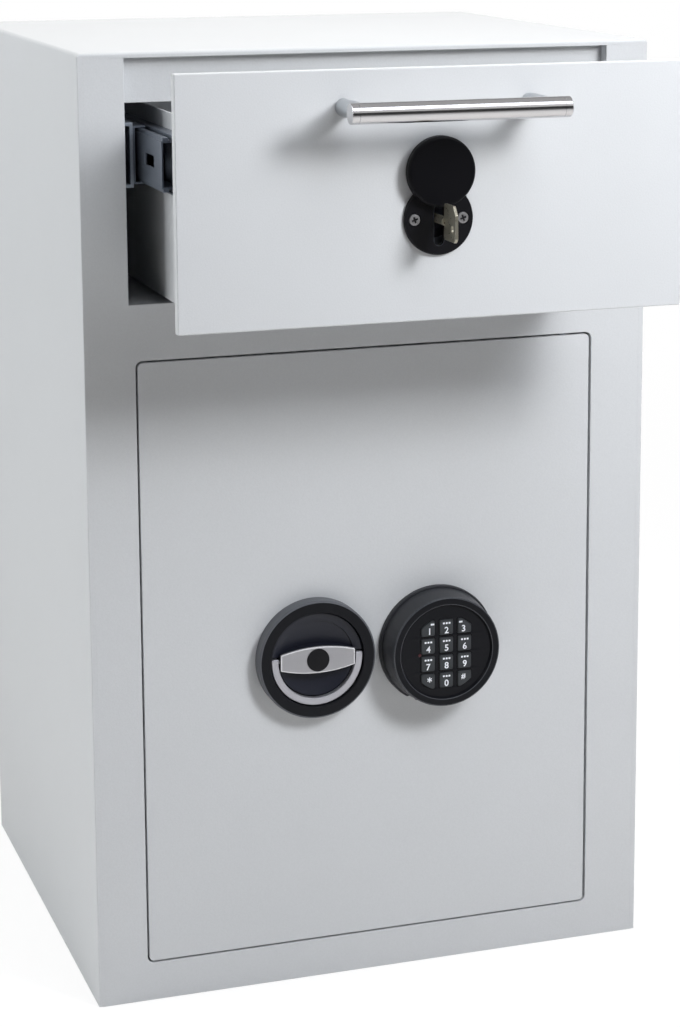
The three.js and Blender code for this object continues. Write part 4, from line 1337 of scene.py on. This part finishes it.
    def key(self, name: str, column: int, row: int) -> None:
        """One key: a crowned rubber block with its figure printed in white.

        Rings of the outline are scaled towards its middle, and rise with one less the
        square of the scale.

        Args:
            name: The key's name, a figure or a word.
            column: Its column, from nought.
            row: Its row, from nought.
        """
        line = self.key_outline(column, row, 0.0)
        top = self.door - self.face - self.key_proud
        bottom = top + self.key_depth
        surface = Surface()
        loops = surface.wall(line, bottom, top, self.key_edge, 4, ends=(0, 1))
        middle = line.mean(0)
        scale = np.linspace(1, 0, 7)[:, None, None]
        rings = middle + (loops[1] - middle)[None] * scale
        surface.grid(Along.Y.place(rings, top - self.crown * (1 - scale[..., 0] ** 2)))
        surface.cap([loops[0]], bottom)
        words = {"star": "*", "hash": "#"}.get(name, name)
        x, z = self.key_centre(column, row)
        corner = column != 1 and row in (0, 3)
        shift_x = (1 - column) * 1.0 if corner else 0.0
        shift_z = {0: -1.9, 3: 1.6}[row] if corner else -2.0
        size = self.figure * {"star": 1.25, "hash": 0.8}.get(name, 1.0)
        place = (x + shift_x, z + shift_z)
        surface.text(words, size, place, top - self.crown, self.print_proud, self.bold, 1)
        if not (corner and row == 3):
            self.pips(surface, x, z, top - self.crown, column if corner else 1)
        self.shop.node(f"key_{name}", surface, RUBBER, PRINT)

    def pips(self, surface: Surface, x: float, z: float, depth: float, column: int) -> None:
        """Prints short strokes over a figure, fewer where the key's corner is cut away.

        Args:
            surface: The key's surface, which takes them up.
            x: The middle of the key's place in X.
            z: The middle of the key's place in Z.
            depth: The Y of the key's face.
            column: Which column's strokes it has.
        """
        places = {0: [2.6, 3.9], 1: [-2.2, 0.0, 2.2], 2: [-3.9, -2.6]}[column]
        front, back = (depth + shift for shift in self.pip_depth)
        for place in places:
            stroke = box_outline((x + place - self.pip_half, x + place + self.pip_half),
                                 [z + shift for shift in self.pip_z], 0.3, 2)
            surface.wall(stroke, back, front)
            surface.cap([turned_left(stroke)], front, mark=1).cap([turned_left(stroke)], back, mark=1)

    def light(self) -> None:
        """The small domed signal light beside the keys."""
        centre = tuple(middle + shift for middle, shift in zip(self.centre, self.light_place))
        radius = self.light_radius
        profile = rounded([(0, -0.6), (radius, -0.6), (radius, 0.2), (0, 0.5)], [0, 0, 0.3, 0], 4, False)
        surface = Surface().lathe(profile, centre, self.door - self.face, count=32)
        self.shop.piece("signal_light", surface, "door", SIGNAL)


@dataclass
class Drawer:
    """The drawer: front, box, tray, bar handle on posts, and the lock's visible and inner pieces."""

    shop: Workshop
    front_rim: float = 0.9
    lock_hole: float = 19.0
    bar_cap: float = 5.0
    bar_groove: float = 0.25
    bar_rim: float = 0.6
    bar_play: float = 0.3
    rosette_rim: float = 0.9
    seat_radius: float = 4.3
    slot_half: float = 3.5
    slot_reach: tuple[float, float] = (18.0, 12.0)
    cross_arm: float = 2.1
    cross_half: float = 0.55
    cross_depth: float = 1.2
    cross_turn: float = 20.0
    head_height: float = 1.8
    shank_radius: float = 1.9
    cover_radius: float = 24.0
    cover_crown: float = 0.15
    cover_rims: tuple[float, float] = (0.3, 2.4)
    cover_gap: float = 0.3
    pin_radius: float = 2.5
    pin_root: float = 1.0
    bow_length: float = 22.0
    bow_half: float = 12.2
    bow_thick: float = 1.1
    bow_cut: tuple[float, float] = (5.0, 6.0)
    bow_notch: float = 2.5
    ring_hole: float = 2.4
    ring_place: tuple[float, float] = (6.0, -3.5)
    stem_radius: float = 3.0
    stem_root: float = 2.0
    bit_half: float = 12.0
    bit_thick: float = 1.4
    bit_step: float = 1.8
    bit_cuts: tuple[float, ...] = (0.0, 2.4, 1.0, 3.4, 1.8)

    def build(self) -> None:
        """Builds every piece of the drawer."""
        self.front()
        self.shop.eased("drawer_box", COATING, 0.3)
        self.shop.eased("drawer_tray", COATING, 0.3)
        self.bar()
        self.posts()
        self.rosette()
        self.screws()
        self.cover()
        self.key()
        self.shop.eased("drawer_lock_case", ZINC, 0.6)
        self.shop.eased("drawer_lock_bar", NICKEL, 0.6)

    def front(self) -> None:
        """The thick front plate with rounded edges and the lock's hole."""
        span = Span.of("drawer_front")
        holes = [circle(self.lock_hole, Span.of("lock_rosette").front, 64)]
        surface = Surface().prism(span.outline(0.8, 3), *span.depth, self.front_rim, holes, 0.2, 4)
        self.shop.node("drawer_front", surface, COATING)

    def bar(self) -> None:
        """The round bar, with the fine joint of an end cap near each end."""
        span = Span.of("pull_bar")
        radius, length, cap, rim = span.size[2] / 2, span.size[0], self.bar_cap, self.bar_rim
        low = radius - self.bar_groove
        corners = [(0, 0), (radius, 0), (radius, cap), (low, cap + 0.15), (radius, cap + 0.3),
                   (radius, length - cap - 0.3), (low, length - cap - 0.15), (radius, length - cap),
                   (radius, length), (0, length)]
        profile = rounded(corners, [0, rim, 0, 0, 0, 0, 0, 0, rim, 0], 5, False)
        surface = Surface().lathe(profile, span.middle[1:], span.low[0], 1.0, Along.X, 128)
        self.shop.node("pull_bar", surface, POLISHED)

    def posts(self) -> None:
        """The two posts, each with its front end coped to the bar.

        At an angle round the post the front end lies where the post's side meets the bar's
        cylinder, so its depth is the root of the bar's radius squared less the height squared.
        """
        bar = Span.of("pull_bar")
        reach = bar.size[2] / 2 + self.bar_play
        for side in ("left", "right"):
            span = Span.of(f"pull_post_{side}")
            centre = np.array(span.front)
            ring = circle(span.size[0] / 2, count=64)
            flat = ring[None] * np.linspace(1, 0, 9)[:, None, None]
            nose = bar.middle[1] + np.sqrt(np.maximum(reach ** 2 - flat[..., 1] ** 2, 0.01))
            surface = Surface().grid(Along.Y.place(flat + centre, nose))
            depth = np.stack([nose[0], np.full(len(ring), span.high[1])])
            surface.grid(Along.Y.place(np.stack([ring + centre] * 2), depth))
            surface.cap([ring + centre], span.high[1])
            self.shop.node(f"pull_post_{side}", surface, POST)

    def rosette(self) -> None:
        """The black rosette with its keyhole slot and the seats of two screws."""
        span = Span.of("lock_rosette")
        centre, (below, above) = span.front, self.slot_reach
        slot = box_outline((centre[0] - self.slot_half, centre[0] + self.slot_half),
                           (centre[1] - below, centre[1] + above), self.slot_half - 0.1, 8)
        seats = [circle(self.seat_radius, Span.of(f"rosette_screw_{side}").front, 40)
                 for side in ("left", "right")]
        surface, (front, back) = Surface(), span.depth
        disc = circle(span.size[0] / 2, centre, 128)
        loops = [surface.wall(disc, back, front, self.rosette_rim, 4, ends=(0, 1))]
        # The slot's rim takes the lighter edge colour: a painted highlight.
        for number, hole in enumerate([slot, *seats]):
            loops.append(surface.wall(turned_left(hole, False), back, front, 0.3, 2, ends=(0, 1),
                                      rim_mark=int(number == 0)))
        surface.cap([loop[1] for loop in loops], front).cap([loop[0] for loop in loops], back)
        self.shop.node("lock_rosette", surface, MATT, EDGE_HIGHLIGHT)

    def screws(self) -> None:
        """Two raised-head screws with a cross recess, whose walls and floor are painted dark for shade."""
        arm, half, radius = self.cross_arm, self.cross_half, self.shank_radius
        turn = math.radians(self.cross_turn)
        cross = [(half, half), (half, arm), (-half, arm), (-half, half), (-arm, half), (-arm, -half),
                 (-half, -half), (-half, -arm), (half, -arm), (half, -half), (arm, -half), (arm, half)]
        spin = np.array([[math.cos(turn), -math.sin(turn)], [math.sin(turn), math.cos(turn)]])
        for side in ("left", "right"):
            span = Span.of(f"rosette_screw_{side}")
            centre, front = np.array(span.front), span.low[1]
            back, floor = front + self.head_height, front + self.cross_depth
            surface = Surface()
            head = surface.wall(circle(span.size[0] / 2, centre, 48), back, front, 0.9, 4, ends=(0, 1))
            recess = turned_left(np.asarray(cross) @ spin.T + centre, False)
            mouth = surface.wall(recess, front, floor, 0.12, 1, ends=(1, 0), mark=1)
            surface.cap([head[1], mouth[0]], front).cap([mouth[1]], floor, mark=1)
            corners = [(radius, self.head_height), (radius, span.size[1]), (0, span.size[1])]
            surface.lathe(rounded(corners, 0.3, 2, False), tuple(centre), front, 1.0, count=48)
            surface.cap([head[0], turned_left(circle(radius, centre, 48), False)], back)
            self.shop.node(f"rosette_screw_{side}", surface, SCREW, RECESS_SHADE)

    def cover(self) -> None:
        """The swinging keyhole cover: a thick disc with a round rim, slightly crowned, on its pin."""
        span, rosette = Span.of("keyhole_cover"), Span.of("lock_rosette")
        centre = (span.middle[0], span.high[2] - self.cover_radius)
        seat = rosette.low[1] - self.cover_gap
        height = seat - span.low[1] - self.cover_crown
        disc = Surface().rod(self.cover_radius, height, self.cover_rims, centre, seat, -1.0, count=144,
                             steps=7, crown=self.cover_crown)
        pin_z = (centre[1] + rosette.middle[2]) / 2
        pin = Surface().rod(self.pin_radius, span.high[1] - seat + self.pin_root, (0, 0), (centre[0], pin_z),
                            seat - self.pin_root)
        self.shop.node("keyhole_cover", self.shop.united("cover", [disc, pin]), COVER)

    def key(self) -> None:
        """The key: a flat bow with cut corners and a ring hole, a round stem and a double bit."""
        span = Span.of("drawer_key")
        (x, z), (start, end) = Span.of("lock_rosette").front, (span.low[1], span.high[1])
        length, half, thick = self.bow_length, self.bow_half, self.bow_thick
        corners = [(start + length, z - half), (start + length, z + half),
                   (start + self.bow_cut[0], z + half), (start, z + half - self.bow_cut[1]),
                   (start, z - half + self.bow_notch), (start + self.bow_notch, z - half)]
        hole = circle(self.ring_hole, (start + self.ring_place[0], z + self.ring_place[1]), 32)
        bow = Surface().prism(rounded(corners, [1.5, 1.5, 1, 1, 1, 1], 4), x - thick, x + thick, 0.4, [hole],
                              0.3, 2, Along.X)
        reach = end - start - length + self.stem_root
        stem = Surface().rod(self.stem_radius, reach, (0.3, 0.5), (x, z), start + length - self.stem_root,
                             count=40, steps=3)
        edge = [(end + self.bit_step * (i + j - len(self.bit_cuts)), z + self.bit_half - cut)
                for i, cut in enumerate(self.bit_cuts) for j in (0, 1)]
        lower = [(y, 2 * z - height) for y, height in reversed(edge)]
        bit = Surface().prism(np.asarray(edge + lower), x - self.bit_thick, x + self.bit_thick, 0.15,
                              along=Along.X, steps=1)
        self.shop.node("drawer_key", self.shop.united("key", [bow, stem, bit]), NICKEL)


@dataclass
class Runners:
    """The telescopic runners: a beam, three rails and a release lever on each side."""

    shop: Workshop
    lever_setback: float = 25.0
    lever_offset: float = 6.0
    lever_half: float = 1.4
    lever_corners: Pairs = ((0, -10), (6, -13.5), (20, -13.5), (26, -8), (26, 8), (20, 13), (6, 13), (0, 7))

    def build(self) -> None:
        """Builds the beam, the rails and the lever of both sides."""
        for side, mirror in (("left", 1.0), ("right", -1.0)):
            self.shop.eased(f"runner_beam_{side}", ZINC, 0.35)
            for rail in ("outer_rail", "middle_rail", "inner_rail"):
                self.shop.eased(f"{rail}_{side}", RAIL, 0.3, cut=CUT_AND_LIGHT)
            self.lever(side, mirror)

    def lever(self, side: str, mirror: float) -> None:
        """The black release lever in the drawer rail's channel, behind the front plate.

        Args:
            side: The side's name.
            mirror: One on the left and minus one on the right.
        """
        rail, front = Span.of(f"inner_rail_{side}"), Span.of("drawer_front")
        x = rail.middle[0] - mirror * self.lever_offset
        corners = np.asarray(self.lever_corners) + (front.high[1] + self.lever_setback, rail.middle[2])
        surface = Surface().prism(rounded(corners, 1.5, 4), x - self.lever_half, x + self.lever_half, 0.4,
                                  along=Along.X)
        self.shop.piece(f"release_lever_{side}", surface, "drawer", PLASTIC)


@dataclass(frozen=True)
class Lamp:
    """A soft rectangular studio lamp, by where it stands, where it points and how strong it is."""

    name: str
    place: tuple[float, float, float]
    target: tuple[float, float, float]
    width: float
    height: float
    power: float
    colour: tuple[float, float, float] = (1.0, 1.0, 1.0)
    mirrored: bool = True

    def build(self) -> None:
        """Adds the lamp, unseen by the camera itself."""
        data = bpy.data.lights.new(self.name, "AREA")
        data.shape, data.size, data.size_y = "RECTANGLE", self.width, self.height
        data.energy, data.color = self.power, self.colour
        lamp = linked(self.name, data)
        aim = Vector(self.target) - Vector(self.place)
        lamp.matrix_world = Matrix.Translation(self.place) @ aim.to_track_quat("-Z", "Y").to_matrix().to_4x4()
        lamp.visible_camera = False
        lamp.visible_glossy = self.mirrored


@dataclass
class Studio:
    """The camera, the lamps, the world and the floor, in metres."""

    image: tuple[int, int] = (680, 1027)
    focal: float = 2563.0
    axis: tuple[float, float] = (399.3, 339.0)
    eye: tuple[float, float, float] = (-0.588, -1.936, 0.826)
    yaw: float = 19.24
    pitch: float = 10.45
    roll: float = -0.11
    ambient: float = 0.01
    floor_level: float = 0.84
    fade: tuple[float, float] = (0.9, 2.4)
    film: float = 36.0
    floor_half: float = 6000.0
    floor_drop: float = 0.4

    def build(self) -> None:
        """Sets the view transform and builds the camera, lamps, world and floor."""
        bpy.context.scene.view_settings.view_transform = "Standard"
        self.camera()
        self.world()
        self.floor()
        lamps = [
            Lamp("key_lamp", (0.42, -1.0, 1.01), (0.05, -0.33, 0.5), 0.22, 0.22, 4.9, mirrored=False),
            Lamp("front_lamp", (0.9, -1.6, 1.5), (0.0, -0.2, 0.35), 0.6, 0.6, 12.6, (0.96, 1.0, 1.07), False),
            Lamp("high_lamp", (0.5, -1.6, 2.2), (0.0, -0.2, 0.35), 0.9, 0.9, 10.2, (0.96, 1.0, 1.07)),
            Lamp("top_lamp", (0.1, 0.05, 1.75), (0.0, 0.0, 0.5), 1.6, 1.1, 15.0, (1.0, 0.97, 0.93), False),
            Lamp("side_lamp", (-2.0, 0.2, 1.35), (-0.2, 0.0, 0.45), 1.4, 1.4, 31.0, (0.97, 1.0, 1.02)),
            Lamp("back_lamp", (0.9, 2.3, 1.2), (0.0, 0.2, 0.35), 1.2, 1.2, 16.0, mirrored=False),
        ]
        for lamp in lamps:
            lamp.build()

    def camera(self) -> None:
        """Places the camera that was fitted to the photograph, with a lens shift."""
        yaw, pitch, roll = (math.radians(v) for v in (self.yaw, self.pitch, self.roll))
        ahead = Vector((math.sin(yaw) * math.cos(pitch), math.cos(yaw) * math.cos(pitch), -math.sin(pitch)))
        right = Vector((math.cos(yaw), -math.sin(yaw), 0.0))
        above = right.cross(ahead)
        across = right * math.cos(roll) + above * math.sin(roll)
        upright = across.cross(ahead)
        data = bpy.data.cameras.new("camera")
        tall = self.image[1]
        data.sensor_fit, data.sensor_height = "VERTICAL", self.film
        data.lens = self.focal * self.film / tall
        data.shift_x = (self.image[0] / 2 - self.axis[0]) / tall
        data.shift_y = (self.axis[1] - tall / 2) / tall
        camera = linked("camera", data)
        turn = Matrix((across, upright, -ahead)).transposed()
        camera.matrix_world = Matrix.Translation(self.eye) @ turn.to_4x4()
        bpy.context.scene.camera = camera

    def world(self) -> None:
        """A white surround for the eye, an even dim one for soft light, and a dark room for gloss."""
        world = bpy.data.worlds.new("studio")
        bpy.context.scene.world = world
        graph = Graph.of(world)
        way = graph.add("SeparateXYZ", inputs={0: graph.add("TexCoord").outputs["Generated"]}).outputs

        def ramp(axis: str, start: float, end: float, low: float, high: float) -> bpy.types.NodeSocket:
            """Carries a share of a direction evenly from one level to another."""
            return graph.remap(way[axis], start, end, low, high)

        raised = graph.math("MINIMUM", ramp("Z", 0.17, 0.26, 0.0, 1.0), ramp("Z", 0.6, 0.74, 1.0, 0.0))
        window = graph.math("MULTIPLY", graph.math("MULTIPLY", raised, ramp("Y", 0.0, -0.2, 0.0, 1.0)),
                            ramp("X", 0.0, 0.5, 0.2, 1.0))
        behind = graph.math("MULTIPLY", ramp("Y", 0.0, 0.25, 0.0, 1.0), ramp("Z", 0.35, 0.6, 1.0, 0.0))
        room = graph.math("MAXIMUM", graph.math("MAXIMUM", window, behind), ramp("Z", 0.5, 0.75, 0.04, 0.5))
        glossy = graph.add("LightPath").outputs["Is Glossy Ray"]
        gloss = graph.math("MULTIPLY", glossy, room)
        even = graph.math("MULTIPLY", graph.math("SUBTRACT", 1.0, glossy), self.ambient)
        strength = graph.math("MAXIMUM", graph.seen(), graph.math("ADD", gloss, even))
        back = graph.add("Background", inputs={"Color": WHITE, "Strength": strength})
        graph.add("OutputWorld", inputs={"Surface": back.outputs[0]})

    def floor(self) -> None:
        """A pale floor that keeps the safe's soft shadow and meets the white surround unseen."""
        limits = (-self.floor_half, self.floor_half)
        surface = Surface().cap([box_outline(limits, limits)], -self.floor_drop, Along.Z)
        floor = linked("floor", surface.mesh("floor"))
        material = bpy.data.materials.new("pale_floor")
        graph = Graph.of(material)
        place = graph.add("TexCoord").outputs["Object"]
        away = graph.add("VectorMath", {"operation": "LENGTH"}, {0: place}).outputs["Value"]
        level = graph.remap(away, *self.fade, self.floor_level, 1.0)
        paint = graph.add("BsdfDiffuse", inputs={"Color": graph.remap(away, *self.fade, 0.2, 0.0)})
        shine = graph.add("Emission", inputs={"Color": WHITE, "Strength": level})
        shown = graph.add("AddShader", inputs={0: paint.outputs[0], 1: shine.outputs[0]})
        pale = graph.add("BsdfDiffuse", inputs={"Color": (0.86, 0.84, 0.82, 1.0)})
        mixed = graph.add("MixShader", inputs={0: graph.seen(), 1: pale.outputs[0], 2: shown.outputs[0]})
        graph.add("OutputMaterial", inputs={"Surface": mixed.outputs[0]})
        floor.data.materials.append(material)


def main() -> None:
    """Builds the studio and every sub-assembly."""
    logging.basicConfig(level=logging.INFO, format="%(name)s: %(message)s")
    Studio().build()
    shop = Workshop()
    for assembly in (Cabinet, Door, Handle, Keypad, Drawer, Runners):
        assembly(shop).build()
    LOG.info("%d pieces", len(shop.made))
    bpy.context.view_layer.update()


if __name__ == "__main__":
    main()
